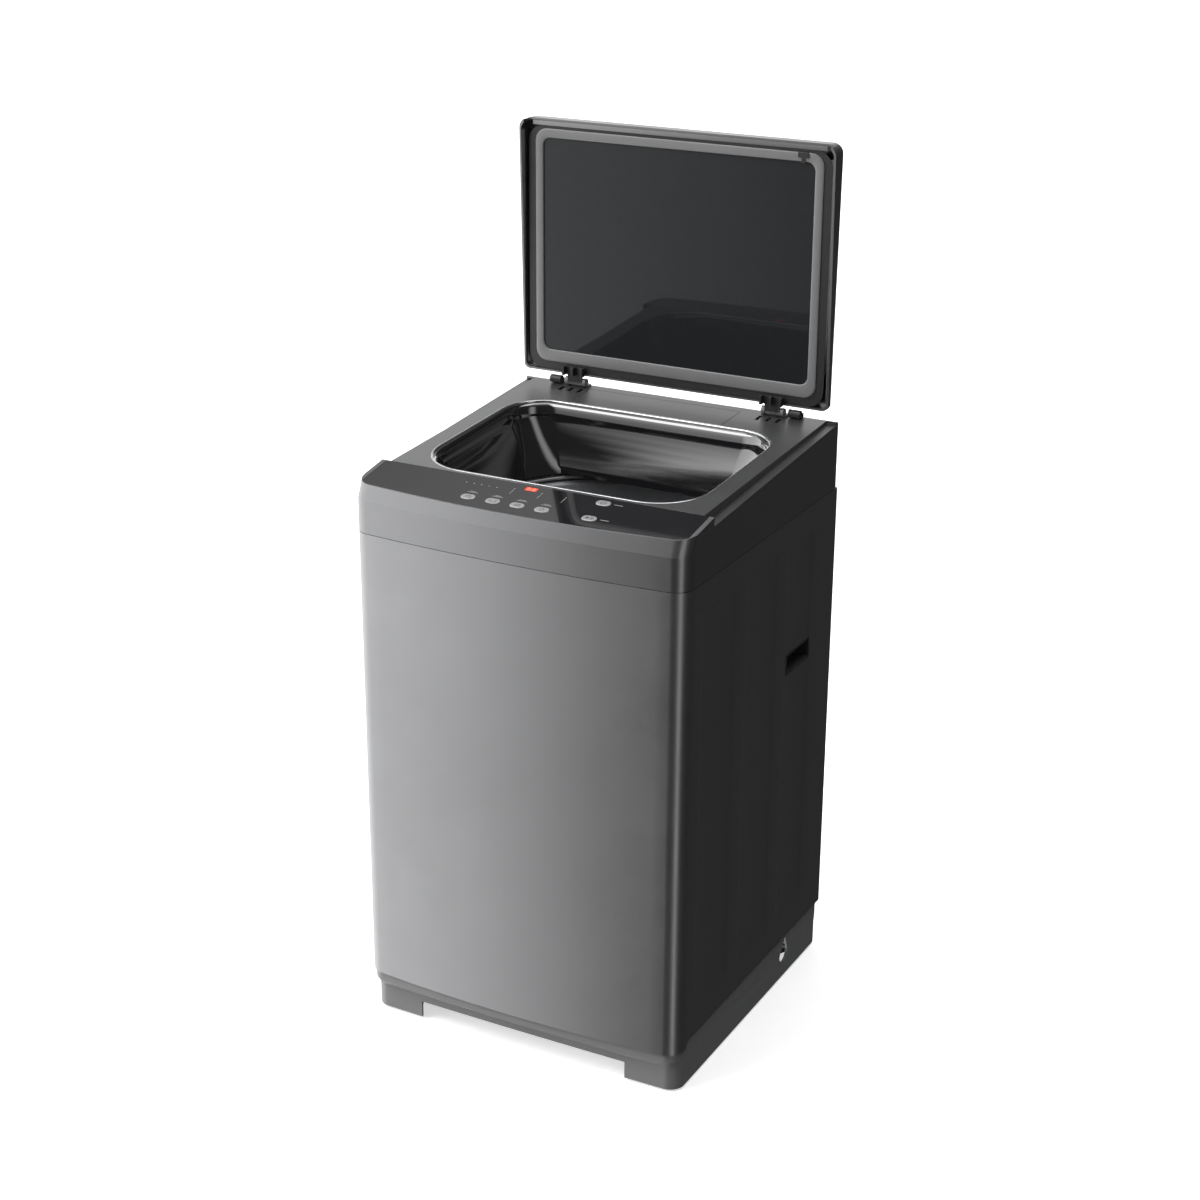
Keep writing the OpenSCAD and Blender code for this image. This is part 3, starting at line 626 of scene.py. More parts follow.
def arc(centre, radius, start, end, steps):
    """Points of an arc in a plane, angles in degrees."""
    return [(centre[0] + radius * math.cos(math.radians(start + (end - start) * i / steps)),
             centre[1] + radius * math.sin(math.radians(start + (end - start) * i / steps)))
            for i in range(steps + 1)]


def rounded_rectangle(hx, y0, y1, front_r, rear_r, steps=8):
    """Rounded rectangle, anticlockwise from the front right corner."""
    return (arc((hx - front_r, y0 + front_r), front_r, -90, 0, steps)
            + arc((hx - rear_r, y1 - rear_r), rear_r, 0, 90, steps)
            + arc((-hx + rear_r, y1 - rear_r), rear_r, 90, 180, steps)
            + arc((-hx + front_r, y0 + front_r), front_r, 180, 270, steps))


# ------------------------------------------------------------------ geometry node helpers

def geometry_tree(name, inputs):
    """An empty geometry tree with named inputs; returns it with its input node."""
    tree = bpy.data.node_groups.new(name, "GeometryNodeTree")
    tree.interface.new_socket("Geometry", in_out="OUTPUT", socket_type="NodeSocketGeometry")
    for label, kind, value in inputs:
        socket = tree.interface.new_socket(label, in_out="INPUT", socket_type=kind)
        if value is not None:
            socket.default_value = value
    return tree, tree.nodes.new("NodeGroupInput")


def close_tree(tree, given, geometry):
    """Ends a geometry tree in Realize Instances and Set Material."""
    real = node(tree, "GeometryNodeRealizeInstances", {"Geometry": geometry})
    coat = node(tree, "GeometryNodeSetMaterial", {"Geometry": real.outputs["Geometry"]})
    tree.links.new(given.outputs["Material"], coat.inputs["Material"])
    out = tree.nodes.new("NodeGroupOutput")
    tree.links.new(coat.outputs["Geometry"], out.inputs["Geometry"])


def grown(name, tree, values):
    """Object made by a geometry tree with the given inputs, as a plain mesh."""
    holder = add_object(name, bpy.data.meshes.new(name))
    modifier = holder.modifiers.new("grown", "NODES")
    modifier.node_group = tree
    for item in tree.interface.items_tree:
        if item.in_out == "INPUT" and item.name in values:
            modifier[item.identifier] = values[item.name]
    return baked(holder)


GN_INT, GN_MATERIAL, GN_OBJECT = "NodeSocketInt", "NodeSocketMaterial", "NodeSocketObject"


def gn_math(tree, operation, a, b=0.0, c=0.0):
    """One math step in a geometry tree."""
    return node(tree, "ShaderNodeMath", {0: a, 1: b, 2: c}, operation=operation).outputs[0]


def drum_tree():
    """Tiles with a hole each, laid out flat in a grid, then wrapped round the drum's axis."""
    tree, given = geometry_tree("drum_perforations", [
        ("Tile", GN_OBJECT, None), ("Columns", GN_INT, 64), ("Rows", GN_INT, 22),
        ("Radius", FLOAT, DRUM_R), ("Bottom", FLOAT, DRUM_Z0), ("Top", FLOAT, DRUM_Z1),
        ("Material", GN_MATERIAL, None)])
    count = gn_math(tree, "MULTIPLY", given.outputs["Columns"], given.outputs["Rows"])
    line = node(tree, "GeometryNodeMeshLine", {"Count": count})
    index = node(tree, "GeometryNodeInputIndex").outputs[0]
    column = gn_math(tree, "MODULO", index, given.outputs["Columns"])
    row = gn_math(tree, "FLOOR", gn_math(tree, "DIVIDE", index, given.outputs["Columns"]))
    spot = node(tree, "ShaderNodeCombineXYZ", {"X": column, "Y": row})
    laid = node(tree, "GeometryNodeSetPosition", {"Geometry": line.outputs["Mesh"],
                "Position": spot.outputs[0]})
    tile = node(tree, "GeometryNodeObjectInfo", {"Object": given.outputs["Tile"]})
    tiles = node(tree, "GeometryNodeInstanceOnPoints", {"Points": laid.outputs["Geometry"],
                 "Instance": tile.outputs["Geometry"]})
    flat = node(tree, "GeometryNodeRealizeInstances", {"Geometry": tiles.outputs["Instances"]})
    here = node(tree, "ShaderNodeSeparateXYZ",
                {"Vector": node(tree, "GeometryNodeInputPosition").outputs[0]})
    turn = gn_math(tree, "MULTIPLY", gn_math(tree, "DIVIDE", here.outputs["X"],
                   given.outputs["Columns"]), math.tau)
    rise = gn_math(tree, "DIVIDE", here.outputs["Y"], given.outputs["Rows"])
    span = gn_math(tree, "SUBTRACT", given.outputs["Top"], given.outputs["Bottom"])
    up = gn_math(tree, "MULTIPLY_ADD", rise, span, given.outputs["Bottom"])
    reach = gn_math(tree, "ADD", given.outputs["Radius"], here.outputs["Z"])
    wrapped = node(tree, "ShaderNodeCombineXYZ", {
        "X": gn_math(tree, "MULTIPLY", gn_math(tree, "COSINE", turn), reach),
        "Y": gn_math(tree, "MULTIPLY", gn_math(tree, "SINE", turn), reach), "Z": up})
    bent = node(tree, "GeometryNodeSetPosition", {"Geometry": flat.outputs["Geometry"],
                "Position": wrapped.outputs[0]})
    whole = node(tree, "GeometryNodeMergeByDistance", {"Geometry": bent.outputs["Geometry"],
                 "Distance": 0.00004})
    close_tree(tree, given, whole.outputs["Geometry"])
    return tree


# Suspension springs: coil radius, wire radius, height, foot, and distance from the middle
SPRING_R, SPRING_WIRE, SPRING_H, SPRING_Z, SPRING_SPREAD = 0.010, 0.0017, 0.0418, 0.2861, 0.222


def spring_tree():
    """A closed coil swept along a helix at each corner of a square."""
    tree, given = geometry_tree("coil_springs", [
        ("Turns", FLOAT, 5.0), ("Radius", FLOAT, SPRING_R), ("Wire", FLOAT, SPRING_WIRE),
        ("Height", FLOAT, SPRING_H), ("Base", FLOAT, SPRING_Z), ("Spread", FLOAT, SPRING_SPREAD),
        ("Material", GN_MATERIAL, None)])
    coil = node(tree, "GeometryNodeCurveSpiral", {
        "Resolution": 22, "Rotations": given.outputs["Turns"],
        "Start Radius": given.outputs["Radius"], "End Radius": given.outputs["Radius"],
        "Height": given.outputs["Height"]})
    wire = node(tree, "GeometryNodeCurvePrimitiveCircle", {"Resolution": 8,
                "Radius": given.outputs["Wire"]})
    swept = node(tree, "GeometryNodeCurveToMesh", {"Curve": coil.outputs["Curve"],
                 "Profile Curve": wire.outputs["Curve"], "Fill Caps": True})
    side = gn_math(tree, "MULTIPLY", given.outputs["Spread"], 2.0)
    corners = node(tree, "GeometryNodeMeshGrid", {"Size X": side, "Size Y": side,
                   "Vertices X": 2, "Vertices Y": 2})
    lift = node(tree, "ShaderNodeCombineXYZ", {"Z": given.outputs["Base"]})
    raised = node(tree, "GeometryNodeSetPosition", {"Geometry": corners.outputs["Mesh"],
                  "Offset": lift.outputs[0]})
    four = node(tree, "GeometryNodeInstanceOnPoints", {"Points": raised.outputs["Geometry"],
                "Instance": swept.outputs["Mesh"]})
    close_tree(tree, given, four.outputs["Instances"])
    return tree


# Drain hose, from the tub's valve down to the outlet: its path, radius, ribs and their depth
HOSE_PATH = ((-0.120, 0.184, 0.189), (-0.120, 0.212, 0.168), (-0.120, 0.226, 0.134))
HOSE_R, HOSE_RIBS, HOSE_RIPPLE = 0.0142, 10.0, 0.11


def hose_tree():
    """A corrugated hose along a sagging path between two points."""
    tree, given = geometry_tree("corrugated_hose", [
        ("Start", VECTOR, HOSE_PATH[0]), ("Middle", VECTOR, HOSE_PATH[1]),
        ("End", VECTOR, HOSE_PATH[2]), ("Radius", FLOAT, HOSE_R),
        ("Ribs", FLOAT, HOSE_RIBS), ("Material", GN_MATERIAL, None)])
    path = node(tree, "GeometryNodeCurveQuadraticBezier", {"Resolution": 90,
                "Start": given.outputs["Start"], "Middle": given.outputs["Middle"],
                "End": given.outputs["End"]})
    along = node(tree, "GeometryNodeSplineParameter").outputs["Factor"]
    turns = gn_math(tree, "MULTIPLY", along, given.outputs["Ribs"])
    wave = gn_math(tree, "SINE", gn_math(tree, "MULTIPLY", turns, math.tau))
    swell = gn_math(tree, "MULTIPLY_ADD", wave, HOSE_RIPPLE, 1.0)
    ring = node(tree, "GeometryNodeCurvePrimitiveCircle", {"Resolution": 24,
                "Radius": given.outputs["Radius"]})
    swept = node(tree, "GeometryNodeCurveToMesh", {
        "Curve": path.outputs["Curve"], "Profile Curve": ring.outputs["Curve"], "Scale": swell,
        "Fill Caps": True})
    close_tree(tree, given, swept.outputs["Mesh"])
    return tree


def row_tree():
    """Copies of a small part in a grid on a tilted or upright plane."""
    tree, given = geometry_tree("part_rows", [
        ("Part", GN_OBJECT, None), ("Columns", GN_INT, 2), ("Rows", GN_INT, 2),
        ("Width", FLOAT, 0.1), ("Height", FLOAT, 0.1), ("Place", VECTOR, (0, 0, 0)),
        ("Turn", VECTOR, (0, 0, 0)), ("Material", GN_MATERIAL, None)])
    grid = node(tree, "GeometryNodeMeshGrid", {"Size X": given.outputs["Width"],
                "Size Y": given.outputs["Height"], "Vertices X": given.outputs["Columns"],
                "Vertices Y": given.outputs["Rows"]})
    part = node(tree, "GeometryNodeObjectInfo", {"Object": given.outputs["Part"]})
    rows = node(tree, "GeometryNodeInstanceOnPoints", {"Points": grid.outputs["Mesh"],
                "Instance": part.outputs["Geometry"]})
    real = node(tree, "GeometryNodeRealizeInstances", {"Geometry": rows.outputs["Instances"]})
    placed = node(tree, "GeometryNodeTransform", {"Geometry": real.outputs["Geometry"],
                  "Translation": given.outputs["Place"], "Rotation": given.outputs["Turn"]})
    close_tree(tree, given, placed.outputs["Geometry"])
    return tree


def ring_tree():
    """Copies of a small part in a ring about the upright axis."""
    tree, given = geometry_tree("part_ring", [
        ("Part", GN_OBJECT, None), ("Count", GN_INT, 24), ("Radius", FLOAT, 0.1),
        ("Height", FLOAT, 0.1), ("Material", GN_MATERIAL, None)])
    circle = node(tree, "GeometryNodeMeshCircle", {"Vertices": given.outputs["Count"],
                  "Radius": given.outputs["Radius"]})
    index = node(tree, "GeometryNodeInputIndex").outputs[0]
    share = gn_math(tree, "DIVIDE", index, given.outputs["Count"])
    turn = gn_math(tree, "MULTIPLY", share, math.tau)
    spin = node(tree, "ShaderNodeCombineXYZ", {"Z": turn})
    part = node(tree, "GeometryNodeObjectInfo", {"Object": given.outputs["Part"]})
    round_it = node(tree, "GeometryNodeInstanceOnPoints", {"Points": circle.outputs["Mesh"],
                    "Instance": part.outputs["Geometry"], "Rotation": spin.outputs[0]})
    lift = node(tree, "ShaderNodeCombineXYZ", {"Z": given.outputs["Height"]})
    placed = node(tree, "GeometryNodeTransform", {"Geometry": round_it.outputs["Instances"],
                  "Translation": lift.outputs[0]})
    close_tree(tree, given, placed.outputs["Geometry"])
    return tree


# ------------------------------------------------------------------ cabinet

# Pressed fields of the side walls: where each starts and ends along the wall
PRESSINGS = [(-0.214, -0.099), (-0.059, 0.053), (0.093, 0.190)]
# ... the width of their upright edges, and the rows that shape their foot and head
PRESS_EDGE = 0.007
PRESS_EDGE_STEPS = (0.0, 0.0018, 0.0035, 0.0052, 0.007)
PRESS_FOOT = (0.119, 0.127, 0.135, 0.142, 0.150, 0.158, 0.165)
PRESS_HEAD = (0.777, 0.7795, 0.782, 0.7845, 0.787)
PRESS_FOOT_RISE, PRESS_HEAD_FALL = 0.046, 0.010
GRIP_Y, GRIP_Z = (0.100, 0.190), (0.568, 0.603)
# The sheet's lower edge steps down in front of this depth
STEP_Y, FRONT_FOOT_Z, SIDE_FOOT_Z = -0.235, 0.0722, 0.0832
# The sheet turns in by this much under the top cover
FOLD = 0.010
# Flanges at the rear: how far each reaches in, and the depths and foot of it
FLANGE_IN, FLANGE_Y, FLANGE_Z = 0.032, (0.2682, 0.2691), 0.084
ON_WALL = 1e-6


def smooth_step(value):
    """Eased from 0 to 1."""
    value = min(max(value, 0.0), 1.0)
    return value * value * (3 - 2 * value)


def pressing(y, z):
    """How deep the side wall is pressed at (y, z), from 0 to 1."""
    foot = smooth_step((z - PRESS_FOOT[0]) / PRESS_FOOT_RISE)
    head = smooth_step((PRESS_HEAD[-1] - z) / PRESS_HEAD_FALL)
    return max(smooth_step((y - y0) / PRESS_EDGE) * smooth_step((y1 - y) / PRESS_EDGE)
               for y0, y1 in PRESSINGS) * foot * head


def front_outline():
    """Right half of the body's outline, from the middle of the front to the corner's end.

    Each point has its place and its direction outwards."""
    big = (HALF_W ** 2 + FRONT_BOW ** 2) / (2 * FRONT_BOW)
    centre = -HALF_D + big
    hx = HALF_W - EDGE_R
    fy = centre - math.sqrt((big - EDGE_R) ** 2 - hx * hx)
    end = math.degrees(math.atan2(fy - centre, hx))
    bow = arc((0, centre), big, -90, end, 12)
    corner = arc((hx, fy), EDGE_R, end, 0, 10)
    points = [(x, y, *Vector((x, y - centre)).normalized()) for x, y in bow[:-1]]
    points += [(x, y, *Vector((x - hx, y - fy)).normalized()) for x, y in corner]
    return points


def side_stations():
    """Depths along the side wall where its grid has columns."""
    found = {STEP_Y - 0.0002, STEP_Y + 0.0002, *GRIP_Y, 0.230, HALF_D - 0.0002}
    for y0, y1 in PRESSINGS:
        for step in PRESS_EDGE_STEPS:
            found.update({round(y0 + step, 5), round(y1 - step, 5)})
        found.add(round((y0 + y1) / 2, 5))
    return sorted(found)


def over_grip(a, b, low, high):
    """True where a panel of the wall's grid lies over the finger hole."""
    on_side = min(abs(a[0]), abs(b[0])) > HALF_W - ON_WALL
    along = min(a[1], b[1]) > GRIP_Y[0] - ON_WALL and max(a[1], b[1]) < GRIP_Y[1] + ON_WALL
    return on_side and along and low > GRIP_Z[0] - ON_WALL and high < GRIP_Z[1] + ON_WALL


def build_cabinet_skin():
    half = front_outline() + [(HALF_W, y, 1.0, 0.0) for y in side_stations()]
    columns = [(-x, y, -nx, ny) for x, y, nx, ny in reversed(half[1:])] + half
    heights = [0.0, 0.097, *PRESS_FOOT, 0.30, 0.43, *GRIP_Z, 0.70, *PRESS_HEAD, 0.805,
               COVER_Z - 0.0008]
    bm = bmesh.new()
    rows = []
    for z in heights:
        row = []
        for x, y, nx, ny in columns:
            foot = SIDE_FOOT_Z if y > STEP_Y else FRONT_FOOT_Z
            on_side = abs(x) >= HALF_W - ON_WALL
            depth = sizes().press_depth * pressing(y, z) if on_side else 0.0
            row.append(bm.verts.new((x - nx * depth, y - ny * depth, max(z, foot))))
        rows.append(row)
    heights.append(COVER_Z - 0.0004)
    rows.append([bm.verts.new((x - nx * FOLD, y - ny * FOLD, heights[-1]))
                 for x, y, nx, ny in columns])
    for k, (lower, upper) in enumerate(zip(rows, rows[1:])):
        for i in range(len(columns) - 1):
            if not over_grip(columns[i], columns[i + 1], heights[k], heights[k + 1]):
                bm.faces.new((lower[i], lower[i + 1], upper[i + 1], upper[i]))
    parts = [thicken(from_bmesh("cabinet_skin", bm), SHEET)]
    for side in (-1, 1):
        x0, x1 = sorted((side * (HALF_W - SHEET - 0.0001), side * (HALF_W - FLANGE_IN)))
        block = slab((x0, FLANGE_Y[0], FLANGE_Z), (x1, FLANGE_Y[1], COVER_Z - 0.002))
        parts.append(from_bmesh("flange", block))
    settle(joined("cabinet_skin", parts), "cabinet", cabinet_paint(),
           ("cabinet_shell",), sharp=math.radians(50))


def build_base():
    copied("base_frame", "base_moulding", "cabinet", "base_plastic", base_moulding(), width=0.0007)


def build_feet():
    for cad, body in (("fixed_feet", "cabinet"), ("levelling_foot", "foot")):
        copied(cad, cad + "_rubber", body, "rubber_black", rubber_black(), width=0.0012)


def build_grips():
    for cad in ("hand_grip_left", "hand_grip_right"):
        copied(cad, cad + "_cup", "cabinet", "black_plastic", moulded_black(), width=0.0008,
               segments=3)


# Wash well: its opening in the deck, the corners of it, and the round mouth over the tub
WELL_HX, WELL_Y0, WELL_Y1 = 0.235, -0.175, 0.172
WELL_FRONT_R, WELL_REAR_R = 0.085, 0.070
MOUTH_R, MOUTH_Z = 0.2018, 0.8245
# Its lip: how far below the deck and inside the opening it starts, and how far in it rolls
LIP_DROP, LIP_INSET, LIP_ROLL, LIP_STEPS = 0.0026, 0.0030, 0.52, 10
WELL_WALL = 0.0022
# The cover's edges within this distance of a rim belong to it
RIM = 0.0005
# The inlet cover's span at the rear of the opening, where the edge is a plain seam
INLET_COVER_X, INLET_COVER_Y0 = (-0.152, 0.124), 0.165


def build_top_cover():
    def long_edge(p):
        if p.y < -0.2:
            return BAND_Z - RIM < p.z < PANEL_Z0 + 0.0015
        at_opening = (p.z > deck_z(p.y) - RIM and abs(p.x) < WELL_HX + RIM
                      and WELL_Y0 - RIM < p.y < WELL_Y1 + RIM)
        at_seam = p.y > INLET_COVER_Y0 and INLET_COVER_X[0] < p.x < INLET_COVER_X[1]
        return at_opening and not at_seam
    copied("top_cover", "top_cover_moulding", "cabinet", "cover_plastic", cover_gloss(),
           width=0.0006, segments=3, heavy=long_edge, heavy_width=sizes().cover_round)


def build_inlet_cover():
    copied("inlet_cover", "inlet_cover_plate", "cabinet", "cover_plastic", cover_gloss(),
           width=0.0008, segments=3)


def well_ring(drop_by, inset, share):
    """Points round the wash well: share 0 is the deck's opening, 1 the round mouth below."""
    shape = rounded_rectangle(WELL_HX - inset, WELL_Y0 + inset, WELL_Y1 - inset,
                              WELL_FRONT_R - inset, WELL_REAR_R - inset, 12)
    points = []
    for x, y in shape:
        angle = math.atan2(y, x)
        top = deck_z(y) - drop_by
        px, py = MOUTH_R * math.cos(angle), MOUTH_R * math.sin(angle)
        points.append((x + (px - x) * share, y + (py - y) * share,
                       top + (MOUTH_Z - top) * share))
    return points


# Section of the bead round the opening: how far below the deck and inside the opening
BEAD = ((0.0030, 0.0002), (0.0010, -0.0001), (0.0002, 0.0003), (-0.0003, 0.0010), (-0.0005, 0.0019),
        (-0.0003, 0.0029), (0.0004, 0.0037), (0.0014, 0.0043), (0.0026, 0.0045), (0.0032, 0.0040))


def build_well():
    lip = sizes().lip_radius
    rings = []
    for step in range(LIP_STEPS + 1):
        turn = math.radians(90 / LIP_STEPS * step)
        rings.append(well_ring(LIP_DROP + lip * (1 - math.cos(turn)),
                               LIP_INSET + lip * math.sin(turn) * LIP_ROLL, 0.0))
    for share in (0.08, 0.2, 0.35, 0.5, 0.7, 0.86, 0.95, 1.0):
        rings.append(well_ring(LIP_DROP + lip, LIP_INSET + lip * LIP_ROLL, share))
    well = loft("wash_well", [list(reversed(ring)) for ring in rings])
    face_well_inwards(well)
    settle(thicken(well, WELL_WALL), "cabinet", well_black(), ("opening_liner",))
    loops = [well_ring(drop_by, inset, 0.0) for drop_by, inset in BEAD + BEAD[:1]]
    bead = outward(loft("well_bead", loops))
    # The bead's lighter colour is painted highlight on the rolled lip round the opening
    settle(bead, "cabinet", bead_gloss(), sharp=math.radians(70))


def face_well_inwards(well):
    """Turns the open skin's faces towards the wash, so that its wall grows away from it."""
    bm = bmesh.new()
    bm.from_mesh(well.data)
    bmesh.ops.recalc_face_normals(bm, faces=bm.faces)
    rightmost = max(bm.faces, key=lambda f: f.calc_center_median().x)
    if rightmost.normal.x > 0:
        bmesh.ops.reverse_faces(bm, faces=bm.faces)
    bm.to_mesh(well.data)
    bm.free()


# ------------------------------------------------------------------ control panel

def on_panel(x, y, lift=0.0):
    """Matrix that puts a thing on the panel's face."""
    return (Matrix.Translation((x, y, panel_z(y))) @ Matrix.Rotation(PANEL_ANGLE, 4, "X")
            @ Matrix.Translation((0, 0, lift)))


def flat_shape(points, height):
    """A thin plate from an outline, as a bmesh."""
    bm = bmesh.new()
    low = [bm.verts.new((x, y, 0)) for x, y in points]
    high = [bm.verts.new((x, y, height)) for x, y in points]
    bm.faces.new(list(reversed(low)))
    bm.faces.new(high)
    for i in range(len(points)):
        j = (i + 1) % len(points)
        bm.faces.new((low[i], low[j], high[j], high[i]))
    bmesh.ops.recalc_face_normals(bm, faces=bm.faces)
    return bm


def plates(name, entries):
    """Many thin plates, each an (outline, height, matrix), joined in one object."""
    parts = []
    for outline, height, matrix in entries:
        bm = flat_shape(outline, height)
        bm.transform(matrix)
        parts.append(from_bmesh("plate", bm))
    return joined(name, parts)


def bar(width, depth, x=0.0, y=0.0):
    """Outline of a rectangle about a point."""
    return [(x - width / 2, y - depth / 2), (x + width / 2, y - depth / 2),
            (x + width / 2, y + depth / 2), (x - width / 2, y + depth / 2)]


def ring_pieces(radius, wall, start, end, steps=16):
    """A broken ring as a row of small plates."""
    outer = arc((0, 0), radius, start, end, steps)
    inner = arc((0, 0), radius - wall, start, end, steps)
    return [[inner[i], outer[i], outer[i + 1], inner[i + 1]] for i in range(steps)]


# Printed marks: their thickness, and their height over the panel, the keys and the display
INK = 0.0001
MARK_LIFT, SIGN_LIFT, DIGIT_LIFT = 0.00012, 0.00078, -0.00014
# Panel plate: its margin inside the cover's front edge, how far back it starts, and its ends
PLATE_MARGIN, PLATE_BACK, PLATE_END_X, PLATE_REAR_Y = 0.0027, 0.009, 0.2723, PANEL_Y1 - 0.001
PLATE_WALL = 0.0019
# Holes through it: the display's middle and size, a key hole's radius and half its straight part
DISPLAY_AT, DISPLAY_HOLE = (-0.012, -0.192), (0.020, 0.010)
KEY_R, KEY_HALF = 0.0075, 0.0045


def plate_outline():
    """The panel plate's outline: it follows the cover's bowed front, and is cut off at its ends."""
    half = [(x - nx * PLATE_MARGIN, y - ny * PLATE_MARGIN + PLATE_BACK)
            for x, y, nx, ny in front_outline()]
    kept = [point for point in half if point[0] < PLATE_END_X]
    (ax, ay), (bx, by) = kept[-1], half[len(kept)]
    kept.append((PLATE_END_X, ay + (by - ay) * (PLATE_END_X - ax) / (bx - ax)))
    kept.append((PLATE_END_X, PLATE_REAR_Y))
    return [(-x, y) for x, y in reversed(kept[1:])] + kept


def panel_plate():
    """The panel's glass plate with its key holes and display window."""
    loops = [plate_outline(), bar(*DISPLAY_HOLE, *DISPLAY_AT)]
    for x, y in KEYS.values():
        loops.append(arc((x + KEY_HALF, y), KEY_R, -90, 90, 12)
                     + arc((x - KEY_HALF, y), KEY_R, 90, 270, 12))
    bm = bmesh.new()
    edges = []
    for loop in loops:
        ring = [bm.verts.new((x, y, panel_z(y) - INK)) for x, y in loop]
        edges += [bm.edges.new((ring[i - 1], ring[i])) for i in range(len(ring))]
    up = Vector((0.0, -math.sin(PANEL_ANGLE), math.cos(PANEL_ANGLE)))
    bmesh.ops.triangle_fill(bm, use_beauty=True, edges=edges, normal=up)
    bmesh.ops.recalc_face_normals(bm, faces=bm.faces)
    if sum(f.normal.z * f.calc_area() for f in bm.faces) < 0:
        bmesh.ops.reverse_faces(bm, faces=bm.faces)
    plate = thicken(from_bmesh("control_panel_face", bm), PLATE_WALL)
    plate.data.shade_flat()
    return plate


# The bars of one digit: middle across and along, then width and depth
DIGIT_BARS = ([(0, y, 0.0034, 0.0006) for y in (0.0028, -0.0028)]
              + [(x, y, 0.0006, 0.0024) for y in (0.0014, -0.0014) for x in (-0.0019, 0.0019)])


def build_panel():
    settle(panel_plate(), "cabinet", panel_black(), ("control_panel_glass",),
           sharp=None)
    copied("display_window", "display_lens", "cabinet", "display_red", display_red(), width=0.0004)
    digits = [(bar(w, d, middle + x, y), INK, on_panel(*DISPLAY_AT, DIGIT_LIFT))
              for middle in (-0.0042, 0.0042) for x, y, w, d in DIGIT_BARS]
    settle(plates("display_digits", digits), "cabinet", digit_red())
    copied("control_board", "control_board_parts", "cabinet", "circuit_board", board_green(),
           width=0.0003)


# Rows of dots: name, across, down, width, height, then the middle of the row on the panel
DOT_ROWS = (("programme_dots", 2, 4, 0.040, 0.014, 0.030, -0.206),
            ("level_dots", 1, 4, 0.0, 0.014, -0.036, -0.206),
            ("wash_dots", 5, 1, 0.052, 0.0, -0.090, -0.204))
# Dashes behind a round key: distance and width; the dash beside a wide key: width and place
KEY_DASHES = ((0.0135, 0.018), (0.0162, 0.011))
SIDE_DASH, SIDE_DASH_AT = 0.014, (0.024, 0.001)


def build_panel_marks():
    """Plain dashes and dots beside the keys, in place of lettering."""
    entries = []
    for name in ("delay", "wash", "level", "programme"):
        x, y = KEYS[name]
        for distance, width in KEY_DASHES:
            entries.append((bar(width, 0.0011), INK, on_panel(x, y + distance, MARK_LIFT)))
    for name in ("start", "power"):
        x, y = KEYS[name]
        place = on_panel(x + SIDE_DASH_AT[0], y + SIDE_DASH_AT[1], MARK_LIFT)
        entries.append((bar(SIDE_DASH, 0.0012), INK, place))
    settle(plates("panel_dashes", entries), "cabinet", print_grey())
    tree = row_tree()
    dot = from_bmesh("dot", flat_shape(arc((0, 0), 0.0011, 0, 330, 11), INK))
    for name, across, down, width, height, x, y in DOT_ROWS:
        dots = grown(name, tree, {
            "Part": dot, "Columns": across, "Rows": down, "Width": width, "Height": height,
            "Place": (x, y, panel_z(y) + MARK_LIFT), "Turn": (PANEL_ANGLE, 0, 0),
            "Material": print_grey()})
        settle(dots, "cabinet", print_grey())
    drop(dot)


# Outlines of each key's plain sign about its middle, and how much larger each is drawn
KEY_SIGNS = {
    "power": ring_pieces(0.0031, 0.0007, 125, 415) + [bar(0.0007, 0.0034, 0, 0.0018)],
    "start": [[(-0.0036, -0.0024), (0.0002, 0.0), (-0.0036, 0.0024)],
              bar(0.0008, 0.0044, 0.0018), bar(0.0008, 0.0044, 0.0036)],
    "programme": ring_pieces(0.0026, 0.0006, 0, 360, 20),
    "level": [bar(0.0064, 0.0006, 0, y) for y in (-0.0018, 0.0, 0.0018)],
    "wash": [bar(0.0070, 0.0006, 0, -0.0022), bar(0.0006, 0.0044, -0.0032),
             bar(0.0006, 0.0044, 0.0032)],
    "delay": ring_pieces(0.0026, 0.0005, 0, 360, 20) + [bar(0.0005, 0.0020, 0, 0.001)],
}
SIGN_SCALE = 1.5


def build_keys():
    for name, (x, y) in KEYS.items():
        body = name + "_key"
        copied(name + "_button", body + "_cap", body, "key_silver", key_silver(), width=0.0010,
               segments=3)
        sign = plates(body + "_sign", [
            ([(SIGN_SCALE * px, SIGN_SCALE * py) for px, py in outline], INK,
             on_panel(x, y, SIGN_LIFT)) for outline in KEY_SIGNS[name]])
        settle(sign, body, icon_dark())


# ------------------------------------------------------------------ lid and hinges

# Window of the lid, standing upright: half width, foot and head, and its corners
WINDOW_HX, WINDOW_Z0, WINDOW_Z1, WINDOW_R = 0.236, 0.998, 1.346, 0.014
# How much a corner grows with the ring's distance from the window
CORNER_GROWTH = 0.45


def lid_ring(side, foot, top, y):
    """Ring round the lid's window, grown by these distances, at depth y with the lid upright."""
    corner = WINDOW_R + CORNER_GROWTH * side
    shape = rounded_rectangle(WINDOW_HX + side, WINDOW_Z0 - foot, WINDOW_Z1 + top, corner, corner)
    return [(x, y, z) for x, z in shape]


def lid_rings(name, rows):
    """Closed ring round the window from rows of (side, foot, top, depth) in millimetres."""
    loops = [lid_ring(a * MM, b * MM, c * MM, y * MM) for a, b, c, y in rows + rows[:1]]
    return outward(loft(name, loops))
